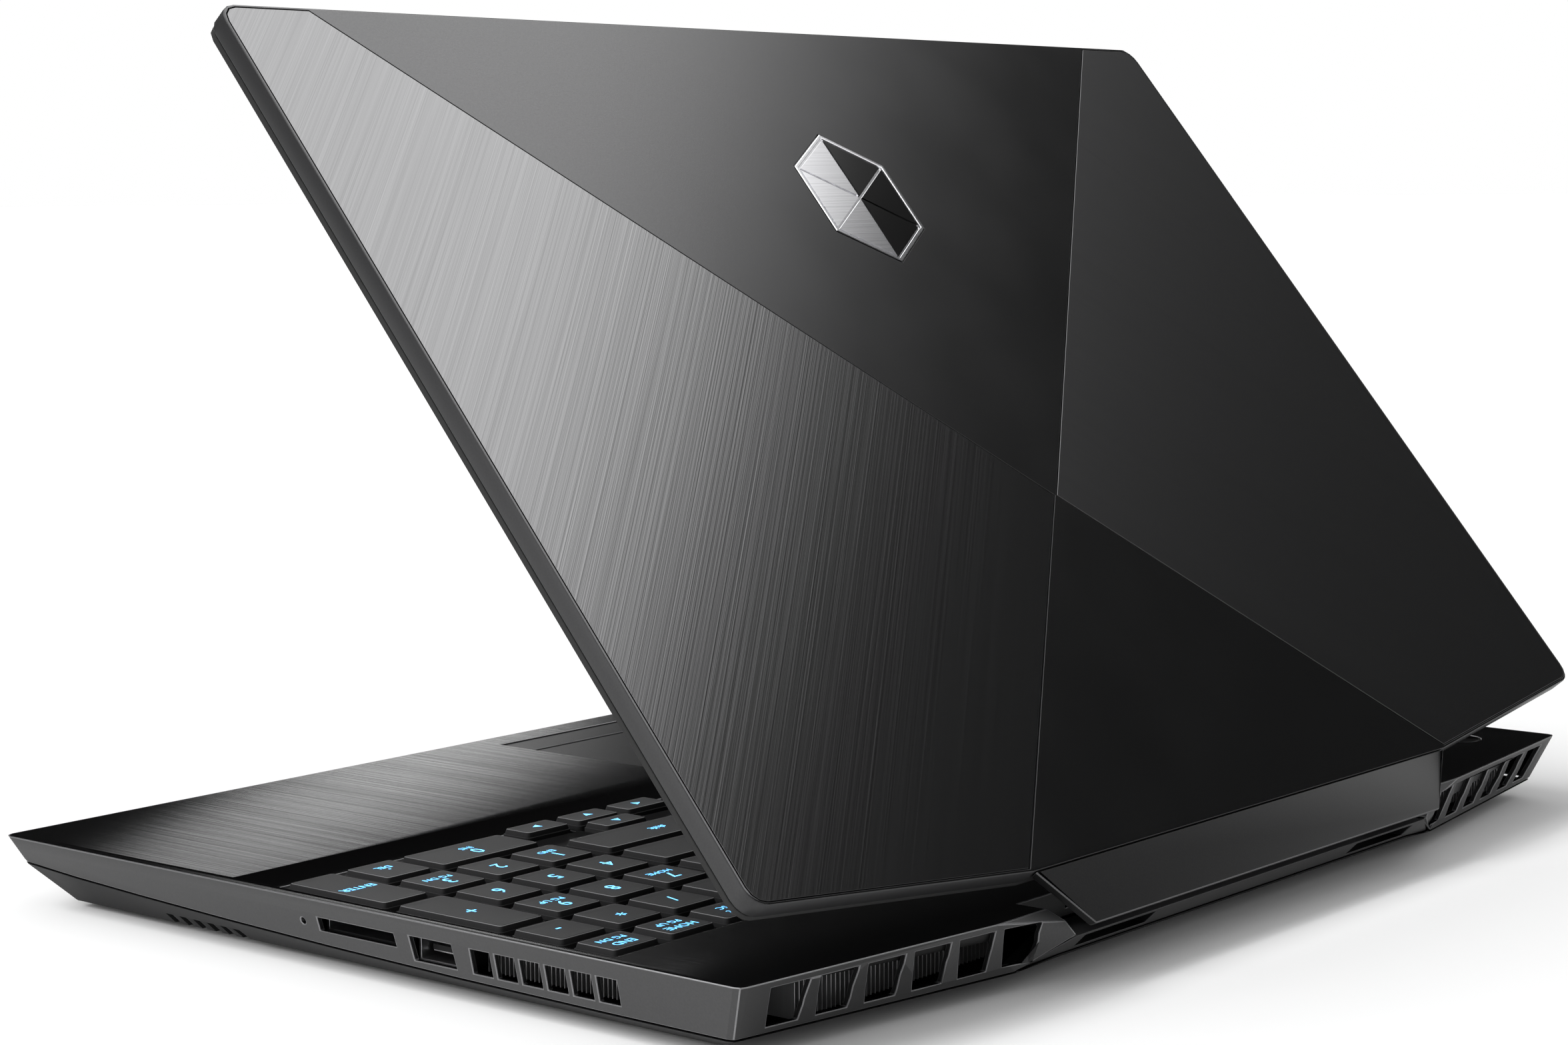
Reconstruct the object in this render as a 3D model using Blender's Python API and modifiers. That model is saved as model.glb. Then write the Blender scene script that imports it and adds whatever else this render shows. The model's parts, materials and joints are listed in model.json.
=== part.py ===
"""A 15.6-inch laptop computer with its lid half open, modelled piece by piece.

Design coordinates are millimetres: x to the user's right from the centre line, y to the rear from
the deck's front edge, z up from the deck. Lid pieces are designed with the lid closed, and an empty
on the hinge axis turns them to the rest pose. The finished frame has its origin on the surface that
the laptop stands on, under the middle of the opened laptop, with the user's side at -Y.
"""

import math

import bmesh
import bpy
from mathutils import Matrix, Vector

MM = 0.001
GAP = 0.3

# Base: the deck outline and the height of each level
WIDTH = 360.0
HALF = WIDTH / 2
SIDE_LENGTH = 238.0
BEND_X = 105.0
BEND_Y = 246.5
REAR_Y = 250.3
DECK_HEIGHT = 18.0
SHELL = 1.4
SIDE_SLOPE = 0.306
REAR_SLOPE = 0.41
BAND_FRONT_Z = -6.1
BAND_REAR_Z = -12.5
BOTTOM_Z = -16.2
BOTTOM_SHELL = 1.5

# Notch at the rear in which the lid's hinge strip turns
NOTCH_TOP_X = 86.5
NOTCH_LOW_X = 80.3
NOTCH_Y = 238.5
NOTCH_Z = -6.3

# Lid
HINGE_Y = 248.2
HINGE_Z = 2.6
OPEN_AT_REST = math.radians(49.94)
LID_FRONT_Y = -1.0
LID_REAR_Y = 242.5
LID_SIDE_REAR_Y = 233.0
LID_TOP_Z = 7.0
LID_RIM_Z = 2.2
LID_SKIN = 1.9
LID_CORNER = 5.0
STRIP_TOP_X = 93.3
STRIP_END_X = 79.0
STRIP_END_Y = 256.87
STRIP_END_Z = 3.67
PANEL_LINE_X = 154.1
PANEL_CROSS_Y = 150.5
RIM_WIDTH = 0.55
COMB_Y = 52.5
COMB_PITCH = 4.9
POCKET_INSET = 0.15

# Keyboard
KEY_PITCH = 18.02
KEY_GAP = 4.4
KEY_TOP_Z = 0.1
KEY_BOTTOM_Z = -3.0
KEY_TRAVEL = 1.2
CARRIER = 0.3
FRAME_Z = -2.5
KEY_FLARE = 0.7
KEY_DEPTH = 13.95
SHORT_KEY_DEPTH = 11.0
MAIN_LEFT = -171.6
MAIN_UNITS = 15.25
NUMPAD_LEFT = 105.0
ROW_1_Y = 96.5
FUNCTION_ROW_Y = 186.6
FLOOR_Z = -2.0
BASIN = (-177.0, 83.0, 177.0, 201.2)
BASIN_FLOOR = (-175.9, 88.5, 175.9, 200.4)
KEY_OPENING = (-174.4, 91.3, 174.4, 199.8)

# Touchpad
PAD_LEFT = -89.4
PAD_RIGHT = 15.6
PAD_FRONT = 9.3
BUTTON_REAR = 22.1
PAD_REAR = 74.0

# Power button, fans, badge and screen window
POWER_X = -158.0
POWER_Y = 219.0
FAN_X = 122.0
FAN_Y = 190.0
FAN_RADIUS = 26.0
BADGE_Y = 55.5
BADGE_RADIUS = 21.0
WINDOW = (-172.3, 13.0, 172.3, 207.0)

# Depth of the whole laptop with the lid at rest
REST_DEPTH = 254.45
BACKPLATE_Z = KEY_BOTTOM_Z - CARRIER / 2 - KEY_TRAVEL - GAP


def collection(name):
    """A new collection in the scene."""
    made = bpy.data.collections.new(name)
    bpy.context.scene.collection.children.link(made)
    return made


def material(name, colour, roughness, metallic):
    """A Principled material of one colour."""
    made = bpy.data.materials.new(name)
    made.use_nodes = True
    shader = made.node_tree.nodes["Principled BSDF"]
    shader.inputs["Base Color"].default_value = (*colour, 1.0)
    shader.inputs["Roughness"].default_value = roughness
    shader.inputs["Metallic"].default_value = metallic
    return made


def world(point):
    """The finished frame's place, in metres, of a design point of the base."""
    x, y, z = point
    return Vector((x, y - REST_DEPTH / 2, z + DECK_HEIGHT)) * MM


FINISHES = {
    "metal": ((0.035, 0.035, 0.037), 0.38, 0.8),
    "dark_metal": ((0.02, 0.02, 0.022), 0.4, 0.7),
    "plastic": ((0.018, 0.018, 0.019), 0.55, 0.0),
    "key": ((0.03, 0.03, 0.032), 0.5, 0.0),
    "rubber": ((0.012, 0.012, 0.012), 0.8, 0.0),
    "steel": ((0.5, 0.5, 0.5), 0.35, 1.0),
    "copper": ((0.7, 0.35, 0.2), 0.3, 1.0),
    "board": ((0.01, 0.05, 0.03), 0.5, 0.0),
    "screen": ((0.005, 0.005, 0.006), 0.12, 0.0),
    "badge": ((0.6, 0.6, 0.62), 0.15, 1.0),
}


def finish(name, kind):
    """This piece's own material, of one of the listed kinds."""
    return material(name, *FINISHES[kind])


def face_outwards(form):
    """Makes the faces agree with each other and point out of the solid."""
    bmesh.ops.recalc_face_normals(form, faces=form.faces)
    if form.calc_volume(signed=True) < 0:
        bmesh.ops.reverse_faces(form, faces=form.faces)


def place(name, form, kind, origin=(0.0, 0.0, 0.0), on_lid=False, cutter=False):
    """An object from a bmesh in design coordinates, with its origin at a design point."""
    form.transform(Matrix.Scale(MM, 4) @ Matrix.Translation(-Vector(origin)))
    mesh = bpy.data.meshes.new(name)
    form.to_mesh(mesh)
    form.free()
    obj = bpy.data.objects.new(name, mesh)
    (CUTTERS if cutter else PARTS).objects.link(obj)
    if on_lid:
        obj.parent = LID_PIVOT
        obj.location = (Vector(origin) - Vector((0.0, HINGE_Y, HINGE_Z))) * MM
    else:
        obj.location = world(origin)
    if cutter:
        obj.hide_render = True
        obj.display_type = "WIRE"
    else:
        mesh.materials.append(finish(name, kind))
    return obj


def lid_piece(name, form, kind):
    """A piece that turns with the lid, with its origin on the hinge axis."""
    return place(name, form, kind, (0.0, HINGE_Y, HINGE_Z), on_lid=True)


def boolean(obj, form, operation="DIFFERENCE", solver="EXACT"):
    """Cuts a design-space bmesh from a piece, or joins it on."""
    on_lid = obj.parent is not None
    origin = (0.0, HINGE_Y, HINGE_Z) if on_lid else (0.0, 0.0, 0.0)
    name = f"{obj.name}_{operation.lower()}_{len(obj.modifiers)}"
    tool = place(name, form, None, origin, on_lid, cutter=True)
    step = obj.modifiers.new(operation.title(), "BOOLEAN")
    step.operation = operation
    step.solver = solver
    step.object = tool


def bevel(obj, width, segments=2, angle=30.0):
    """Rounds the edges of a piece that are sharper than an angle in degrees."""
    step = obj.modifiers.new("Bevel", "BEVEL")
    step.width = width * MM
    step.segments = segments
    step.limit_method = "ANGLE"
    step.angle_limit = math.radians(angle)
    step.harden_normals = False


def box(low, high, taper=0.0):
    """A box between two corners, with its top drawn in by a taper on each side."""
    form = bmesh.new()
    bmesh.ops.create_cube(form, size=1.0)
    size = [high[i] - low[i] for i in range(3)]
    middle = [(high[i] + low[i]) / 2 for i in range(3)]
    for vertex in form.verts:
        on_top = vertex.co.z > 0
        for i in range(3):
            reach = size[i] - (2 * taper if on_top and i < 2 else 0.0)
            vertex.co[i] = middle[i] + vertex.co[i] * reach
    return form


def boxes(corners):
    """Separate boxes in one bmesh, each given as (low, high)."""
    return merged([box(low, high) for low, high in corners])


def merged(forms):
    """Several bmeshes as one, without joining their surfaces."""
    whole = bmesh.new()
    for form in forms:
        mesh = bpy.data.meshes.new("merged")
        face_outwards(form)
        form.to_mesh(mesh)
        form.free()
        whole.from_mesh(mesh)
        bpy.data.meshes.remove(mesh)
    return whole


def cylinder(centre, radius, length, axis="Z", segments=24):
    """A cylinder about a design point, along an axis."""
    form = bmesh.new()
    bmesh.ops.create_cone(
        form, cap_ends=True, segments=segments, radius1=radius, radius2=radius, depth=length
    )
    turn = {"X": Matrix.Rotation(math.pi / 2, 4, "Y"), "Y": Matrix.Rotation(math.pi / 2, 4, "X")}
    form.transform(Matrix.Translation(Vector(centre)) @ turn.get(axis, Matrix.Identity(4)))
    return form


def outline_solid(outlines, low, high):
    """A flat piece cut from a closed outline, whose further outlines are holes, between two heights."""
    curve = bpy.data.curves.new("outline", "CURVE")
    curve.dimensions = "2D"
    curve.fill_mode = "BOTH"
    curve.extrude = (high - low) / 2
    for points in outlines:
        spline = curve.splines.new("POLY")
        spline.points.add(len(points) - 1)
        for point, (x, y) in zip(spline.points, points):
            point.co = (x, y, 0.0, 1.0)
        spline.use_cyclic_u = True
    drawn = bpy.data.objects.new("outline", curve)
    bpy.context.scene.collection.objects.link(drawn)
    graph = bpy.context.evaluated_depsgraph_get()
    mesh = bpy.data.meshes.new_from_object(drawn.evaluated_get(graph))
    form = bmesh.new()
    form.from_mesh(mesh)
    bmesh.ops.remove_doubles(form, verts=form.verts, dist=0.001)
    form.transform(Matrix.Translation((0.0, 0.0, (high + low) / 2)))
    bpy.data.objects.remove(drawn)
    bpy.data.curves.remove(curve)
    bpy.data.meshes.remove(mesh)
    face_outwards(form)
    return form


def rounded(points, radius, steps=4):
    """An outline with its corners rounded."""
    out = []
    for i, here in enumerate(points):
        here = Vector(here)
        back = (Vector(points[i - 1]) - here).normalized()
        ahead = (Vector(points[(i + 1) % len(points)]) - here).normalized()
        half = back.angle(ahead) / 2
        reach = radius / math.tan(half)
        centre = here + (back + ahead).normalized() * (radius / math.sin(half))
        start = here + back * reach - centre
        end = here + ahead * reach - centre
        sweep = start.angle_signed(end)
        for k in range(steps + 1):
            arm = start.copy()
            arm.rotate(Matrix.Rotation(-sweep * k / steps, 2))
            out.append(tuple(centre + arm))
    return out


def rectangle(bounds):
    """The four corners of (left, front, right, rear)."""
    left, front, right, rear = bounds
    return [(left, front), (right, front), (right, rear), (left, rear)]


def band_drop(y):
    """The height of the side band's lower edge, which falls along a parabola towards the rear."""
    t = (math.sqrt(190.0**2 + 40.0 * min(y, 200.0)) - 190.0) / 20.0
    return BAND_FRONT_Z * (1 - t) ** 2 - 24.0 * t * (1 - t) + (BAND_REAR_Z + 0.1) * t**2


def side_column(y):
    """Deck edge, middle and lower edge of the side band at a place along the side."""
    low = band_drop(y)
    return column((HALF, y, 0.0), (HALF + SIDE_SLOPE * low, y, low))


def column(top, bottom, middle=None):
    """Three points down the wall of the case."""
    top, bottom = Vector(top), Vector(bottom)
    return [top, Vector(middle) if middle else (top + bottom) / 2, bottom]


def half_columns():
    """The wall of the top case from the middle of its front to the middle of its rear."""
    front_low = BAND_FRONT_Z
    corner_x = HALF + SIDE_SLOPE * BAND_REAR_Z
    corner_y = SIDE_LENGTH + REAR_SLOPE * BAND_REAR_Z
    made = [column((177.5, 0.0, 0.0), (175.6, 4.4, front_low))]
    made.append(column((179.27, 0.73, 0.0), (177.4, 5.1, front_low)))
    made.append(column((HALF, 2.5, 0.0), (178.1, 6.9, front_low - 0.15)))
    made += [side_column(y) for y in (25.0, 50.0, 80.0, 115.0, 155.0, 200.0)]
    made.append(column((HALF, 236.0, 0.0), (corner_x, corner_y - 2.0, BAND_REAR_Z)))
    made.append(column((179.5, 237.6, 0.0), (corner_x - 0.5, corner_y - 0.4, BAND_REAR_Z)))
    made.append(column((178.0, 238.2, 0.0), (corner_x - 2.0, corner_y, BAND_REAR_Z)))
    made.append(column((BEND_X, BEND_Y, 0.0), (94.8, 243.9, -12.9)))
    facet = (NOTCH_TOP_X - 2.7, 249.9, -2.7)
    made.append(column((NOTCH_TOP_X, BEND_Y, 0.0), (NOTCH_LOW_X, REAR_Y, NOTCH_Z), facet))
    inner = (NOTCH_TOP_X - 2.7, NOTCH_Y, -2.7)
    made.append(column((NOTCH_TOP_X, NOTCH_Y, 0.0), (NOTCH_LOW_X, NOTCH_Y, NOTCH_Z), inner))
    return made


def mirrored(columns):
    """Both halves of a ring of columns, counter-clockwise from the middle of the front."""
    other = [[Vector((-p.x, p.y, p.z)) for p in made] for made in reversed(columns)]
    return columns + other


def wall(form, columns):
    """Side faces between neighbouring columns, and the vertices of each level."""
    levels = [[form.verts.new(made[k]) for made in columns] for k in range(len(columns[0]))]
    count = len(columns)
    for upper, lower in zip(levels, levels[1:]):
        for i in range(count):
            j = (i + 1) % count
            corners = [upper[i], lower[i], lower[j], upper[j]]
            crease = bend_crease(corners)
            if crease is None:
                form.faces.new(corners)
            else:
                form.faces.new([corners[k] for k in crease[0]])
                form.faces.new([corners[k] for k in crease[1]])
    return levels


def bend_crease(corners):
    """How to split the twisted face beside the rear bend, so that its crease starts at the bend."""
    at_bend = [abs(abs(v.co.x) - BEND_X) < 0.01 and abs(v.co.z) < 0.01 for v in corners]
    twisted = max(abs(v.co.z) for v in corners) > 5.0 and any(
        abs(abs(v.co.x) - NOTCH_TOP_X) < 0.01 for v in corners
    )
    if not twisted or not any(at_bend):
        return None
    if at_bend[0]:
        return ((0, 2, 3), (0, 1, 2))
    return ((3, 0, 1), (3, 1, 2))


def ring(form, outline, z):
    """A loop of edges in the bmesh at one height."""
    verts = [form.verts.new((x, y, z)) for x, y in outline]
    for i, vert in enumerate(verts):
        form.edges.new((vert, verts[(i + 1) % len(verts)]))
    return verts


def bridge(form, outer, inner):
    """Faces between two loops with the same number of points."""
    for i in range(len(outer)):
        j = (i + 1) % len(outer)
        form.faces.new((outer[i], outer[j], inner[j], inner[i]))


def loop_edges(form, verts):
    """The edges of the bmesh between neighbouring vertices of a closed loop."""
    made = []
    for i, vert in enumerate(verts):
        ahead = verts[(i + 1) % len(verts)]
        made.append(form.edges.get((vert, ahead)) or form.edges.new((vert, ahead)))
    return made


def solidify(obj, thickness):
    """Gives an open surface a wall on its inner side."""
    step = obj.modifiers.new("Solidify", "SOLIDIFY")
    step.thickness = thickness * MM
    step.offset = -1.0
    step.use_even_offset = True


def side_openings(sign):
    """Cutters for the slanted vents that both sides have near the rear."""
    made = []
    for i in range(6):
        front = 160.9 + 7.37 * i
        form = box((150.0, front, -10.0), (190.0, front + 5.8, -4.2))
        for vertex in form.verts:
            vertex.co.y -= 0.1 * (-4.2 - vertex.co.z)
            vertex.co.x *= sign
        made.append(form)
    return made


def rear_openings(sign):
    """Cutters for the vents across the rear corner, square to the slanted rear wall."""
    made = []
    turn = math.atan2(BEND_Y - SIDE_LENGTH, HALF - BEND_X)
    for i in range(6):
        left = 170.9 - 13.75 * i
        form = box((-12.0, -14.0, -11.0), (0.0, 14.0, -1.7))
        for vertex in form.verts:
            vertex.co.x -= 0.25 * (-1.7 - vertex.co.z)
            vertex.co.x = max(vertex.co.x, -11.0)
        place_x = left
        place_y = SIDE_LENGTH + (HALF - left) * math.tan(turn)
        form.transform(Matrix.Translation((place_x, place_y, 0.0)) @ Matrix.Rotation(turn, 4, "Z").inverted())
        for vertex in form.verts:
            vertex.co.x *= sign
        made.append(form)
    return made


def right_ports():
    """Cutters for the card slot, the USB opening and the drive light in the right side band."""
    return [
        box((160.0, 112.6, -7.6), (190.0, 137.2, -4.4)),
        box((160.0, 142.2, -9.9), (190.0, 155.2, -4.1)),
        cylinder((178.0, 107.5, -6.0), 0.8, 12.0, "X", 12),
    ]


def left_ports():
    """Cutters for the connectors in the left side band."""
    return [
        cylinder((-178.0, 148.0, -7.9), 3.0, 24.0, "X", 20),
        box((-190.0, 123.0, -10.9), (-160.0, 138.0, -4.4)),
        box((-190.0, 101.5, -9.7), (-160.0, 116.5, -4.6)),
        box((-190.0, 80.0, -9.5), (-160.0, 93.2, -4.4)),
        cylinder((-178.0, 64.0, -6.4), 1.9, 24.0, "X", 16),
    ]


def build_top_case():
    """Deck, side band and keyboard basin in one shell, with its vents and ports cut through."""
    form = bmesh.new()
    levels = wall(form, mirrored(half_columns()))
    basin = ring(form, rectangle(BASIN), 0.0)
    floor = ring(form, rectangle(BASIN_FLOOR), FLOOR_Z)
    lip = ring(form, rectangle(KEY_OPENING), FLOOR_Z)
    bridge(form, basin, floor)
    bridge(form, floor, lip)
    pad = ring(form, rectangle((PAD_LEFT, PAD_FRONT, PAD_RIGHT, PAD_REAR)), 0.0)
    edges = loop_edges(form, levels[0]) + loop_edges(form, basin) + loop_edges(form, pad)
    bmesh.ops.triangle_fill(form, edges=edges, use_beauty=True, normal=(0.0, 0.0, 1.0))
    face_outwards(form)
    obj = place("top_case", form, "metal")
    solidify(obj, SHELL)
    boolean(obj, merged(side_openings(1) + side_openings(-1)))
    boolean(obj, merged(rear_openings(1) + rear_openings(-1)))
    boolean(obj, merged(right_ports() + left_ports()))
    slots = [cylinder((POWER_X, POWER_Y, 0.0), 6.3, 8.0, "Z", 24)]
    for side in (-1, 1):
        low, high = sorted((side * 59.0, side * 67.5))
        slots.append(box((low, 211.0, -4.4), (high, 240.5, -0.75)))
    boolean(obj, merged(slots), solver="MANIFOLD")
    return obj


def build_bottom_cover():
    """Black tray that closes the base from below, with its intake grilles and speaker slots."""
    rim = []
    for made in half_columns()[:-2]:
        low = made[-1]
        rim.append([Vector((low.x - 0.1, low.y + (0.2 if low.y < 6.0 else -0.1), low.z - 0.4))])
    rim.append([Vector((79.6, 245.0, -12.3))])
    foot = [(166.0, 12.5), (169.0, 13.0), (169.8, 15.0)]
    foot += [(169.8, y) for y in (25.0, 50.0, 80.0, 115.0, 155.0, 200.0)]
    foot += [(169.8, 222.0), (169.3, 224.0), (167.0, 225.0), (92.0, 233.0), (79.0, 233.5)]
    for made, (x, y) in zip(rim, foot):
        made.append(Vector((x, y, BOTTOM_Z)))
    form = bmesh.new()
    levels = wall(form, mirrored(rim))
    form.faces.new(levels[-1])
    face_outwards(form)
    obj = place("bottom_cover", form, "plastic")
    solidify(obj, BOTTOM_SHELL)
    slots = []
    for side in (-1, 1):
        for i in range(6):
            front = COMB_Y + COMB_PITCH * i
            low, high = sorted((side * 163.0, side * 178.0))
            slots.append(((low, front, -18.0), (high, front + 2.5, -13.4)))
        for i in range(8):
            front = 168.0 + 6.0 * i
            low, high = sorted((side * 96.0, side * 150.0))
            slots.append(((low, front, -18.0), (high, front + 3.0, -13.0)))
    boolean(obj, boxes(slots))
    boolean(obj, rear_block_form(0.35))
    boolean(obj, case_volume(0.35))
    return obj


def case_volume(drop):
    """The space inside the top case's wall, lowered by a clearance, which the bottom cover leaves free."""
    form = bmesh.new()
    levels = wall(form, mirrored(half_columns()))
    for level, z in ((levels[0], 1.0), (levels[-1], BAND_REAR_Z)):
        centre = form.verts.new((0.0, SIDE_LENGTH / 2, z))
        for i, vert in enumerate(level):
            form.faces.new((vert, level[(i + 1) % len(level)], centre))
    face_outwards(form)
    form.transform(Matrix.Translation((0.0, 0.0, -drop)))
    return form


def rear_block_form(grown):
    """The vent block as a loft along x, grown by a clearance for the cut in its neighbour."""
    sections = []
    for x, low, high, top_rear, low_rear in (
        (-93.0, -12.85, -12.5, 243.6, 243.4),
        (-79.6, -11.6, -6.65, 250.1, 245.1),
    ):
        x = x - grown if x < -90 else x
        low, high, front = low - grown, high + grown, 239.0 - grown
        top = [(x, front, high), (x, top_rear + grown, high)]
        sections.append(top + [(x, low_rear + grown, low), (x, front, low)])
    for section in reversed(sections[:2]):
        sections.append([(-x, y, z) for x, y, z in section])
    form = bmesh.new()
    loops = [[form.verts.new(point) for point in section] for section in sections]
    for first, second in zip(loops, loops[1:]):
        bridge(form, first, second)
    form.faces.new(loops[0])
    form.faces.new(loops[-1])
    face_outwards(form)
    return form


def build_rear_block():
    """Black vent block that closes the rear under the hinge notch, with two outlets."""
    obj = place("rear_vent_block", rear_block_form(0.0), "plastic")
    outlets = [sorted_corners((s * 46.0, 241.0, -10.6), (s * 75.0, 255.0, -7.6)) for s in (-1, 1)]
    boolean(obj, boxes(outlets))
    return obj


def row_y(row):
    """The front edge of the key tops of rows 1 to 5, counted from the space bar's row."""
    return ROW_1_Y + (row - 1) * KEY_PITCH


def spans(left, units):
    """The left and right edges of the key tops of a run of keys with these widths in pitches."""
    made = []
    for width in units:
        made.append((left, left + width * KEY_PITCH - KEY_GAP))
        left += width * KEY_PITCH
    return made


def key_rows():
    """For each node of joined keys: its key tops as (left, front, right, rear)."""
    main = {
        "keys_number_row": (5, [1.0] * 13 + [2.25]),
        "keys_upper_letter_row": (4, [1.5] + [1.0] * 12 + [1.75]),
        "keys_home_row": (3, [1.75] + [1.0] * 11 + [2.5]),
        "keys_lower_letter_row": (2, [2.25] + [1.0] * 10 + [3.0]),
    }
    rows = {}
    for name, (row, units) in main.items():
        front = row_y(row)
        rows[name] = [(a, front, b, front + KEY_DEPTH) for a, b in spans(MAIN_LEFT, units)]
    front = row_y(5)
    operators = spans(NUMPAD_LEFT, [1.0] * 4)
    rows["keys_number_row"] += [(a, front, b, front + KEY_DEPTH) for a, b in operators]
    function = spans(MAIN_LEFT, [MAIN_UNITS / 16] * 16) + spans(NUMPAD_LEFT, [1.0] * 4)
    rear = FUNCTION_ROW_Y + SHORT_KEY_DEPTH
    rows["keys_function_row"] = [(a, FUNCTION_ROW_Y, b, rear) for a, b in function]
    left_of_space = spans(MAIN_LEFT, [1.25, 1.0, 1.0, 1.25])
    right_of_space = spans(MAIN_LEFT + 9.75 * KEY_PITCH, [1.25, 1.25])
    low = row_y(1)
    rows["keys_modifier_row"] = [(a, low, b, low + KEY_DEPTH) for a, b in left_of_space + right_of_space]
    pad = {"keys_numpad_123": (2, 3), "keys_numpad_456": (3, 3), "keys_numpad_789": (4, 3)}
    for name, (row, count) in pad.items():
        front = row_y(row)
        rows[name] = [(a, front, b, front + KEY_DEPTH) for a, b in spans(NUMPAD_LEFT, [1.0] * count)]
    rows["keys_numpad_zero_point"] = [
        (a, low, b, low + KEY_DEPTH) for a, b in spans(NUMPAD_LEFT, [2.0, 1.0])
    ]
    return rows


def single_keys():
    """For each key with a node of its own: its top as (left, front, right, rear)."""
    space_left, space_right = spans(MAIN_LEFT + 4.5 * KEY_PITCH, [5.25])[0]
    last_left, last_right = spans(NUMPAD_LEFT + 3 * KEY_PITCH, [1.0])[0]
    tall = KEY_PITCH + KEY_DEPTH
    return {
        "space_bar": (space_left, row_y(1), space_right, row_y(1) + KEY_DEPTH),
        "key_numpad_enter": (last_left, row_y(1), last_right, row_y(1) + tall),
        "key_numpad_plus": (last_left, row_y(3), last_right, row_y(3) + tall),
        "key_arrow_left": (47.5, 92.9, 62.4, 101.4),
        "key_arrow_down": (65.9, 92.9, 80.7, 101.4),
        "key_arrow_up": (65.9, 103.2, 80.7, 111.0),
        "key_arrow_right": (84.2, 92.9, 99.0, 101.4),
    }


def key_form(top):
    """One keycap, a little wider at its foot."""
    left, front, right, rear = top
    flare = KEY_FLARE
    low = (left - flare, front - flare, KEY_BOTTOM_Z)
    return box(low, (right + flare, rear + flare, KEY_TOP_Z), flare)


def build_keys():
    """Every key: the rows joined by a carrier under the frame, and the keys that stand alone."""
    for name, tops in key_rows().items():
        first, last = tops[0], tops[-1]
        middle = (first[1] + first[3]) / 2
        start = ((first[0] + first[2]) / 2, middle - 3.0, KEY_BOTTOM_Z - CARRIER / 2)
        end = ((last[0] + last[2]) / 2, middle + 3.0, KEY_BOTTOM_Z + CARRIER / 2)
        obj = place(name, box(start, end), "key", (0.0, middle, KEY_BOTTOM_Z))
        boolean(obj, merged([key_form(top) for top in tops]), "UNION")
    for name, top in single_keys().items():
        middle = ((top[0] + top[2]) / 2, (top[1] + top[3]) / 2, KEY_BOTTOM_Z)
        obj = place(name, key_form(top), "key", middle)
        bevel(obj, 0.25, 1)
        if name == "space_bar":
            tunnel_top = KEY_BOTTOM_Z + CARRIER / 2 + KEY_TRAVEL + GAP
            low = (top[0] - 5.0, middle[1] - 3.6, KEY_BOTTOM_Z - 1.0)
            boolean(obj, box(low, (top[2] + 5.0, middle[1] + 3.6, tunnel_top)))


def build_keyboard_frame():
    """Plate at the bottom of the basin with a hole for every key, and the carrier plate under it."""
    left, front, right, rear = KEY_OPENING
    outer = (left + GAP, front + GAP, right - GAP, rear - GAP)
    holes = []
    margin = KEY_FLARE + 0.35
    alone = single_keys()
    down, up = alone.pop("key_arrow_down"), alone.pop("key_arrow_up")
    tops = [top for row in key_rows().values() for top in row] + list(alone.values())
    tops.append((down[0], down[1], up[2], up[3]))
    for a, b, c, d in tops:
        holes.append(rectangle((a - margin, b - margin, c + margin, d + margin)))
    place("keyboard_frame", outline_solid([rectangle(outer)] + holes, FRAME_Z, FLOOR_Z), "metal")
    plate = [(-157.5, front), (right, front), (right, 109.0), (149.0, 109.0), (149.0, 158.0)]
    plate += [(right, 158.0), (right, rear), (left, rear), (left, 155.0), (-157.5, 155.0)]
    place("keyboard_backplate", outline_solid([plate], BACKPLATE_Z - 0.5, BACKPLATE_Z), "steel")


def build_touchpad():
    """The pad and the two buttons along its front."""
    left, right = PAD_LEFT + GAP, PAD_RIGHT - GAP
    middle = (PAD_LEFT + PAD_RIGHT) / 2
    pad = box((left, BUTTON_REAR + GAP, -2.2), (right, PAD_REAR - GAP, -0.5))
    place("touchpad", pad, "plastic")
    for name, a, b in (
        ("touchpad_button_left", left, middle - GAP / 2),
        ("touchpad_button_right", middle + GAP / 2, right),
    ):
        low, high = (a, PAD_FRONT + GAP, -1.9), (b, BUTTON_REAR - GAP, -0.3)
        obj = place(name, box(low, high), "plastic", ((a + b) / 2, PAD_FRONT, -0.3))
        bevel(obj, 0.2, 1)


def build_power_button():
    """Round button at the rear left of the deck."""
    form = cylinder((POWER_X, POWER_Y, -0.95), 5.9, 1.9, "Z", 32)
    obj = place("power_button", form, "metal", (POWER_X, POWER_Y, 0.0))
    bevel(obj, 0.25, 2, 60)


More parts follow.
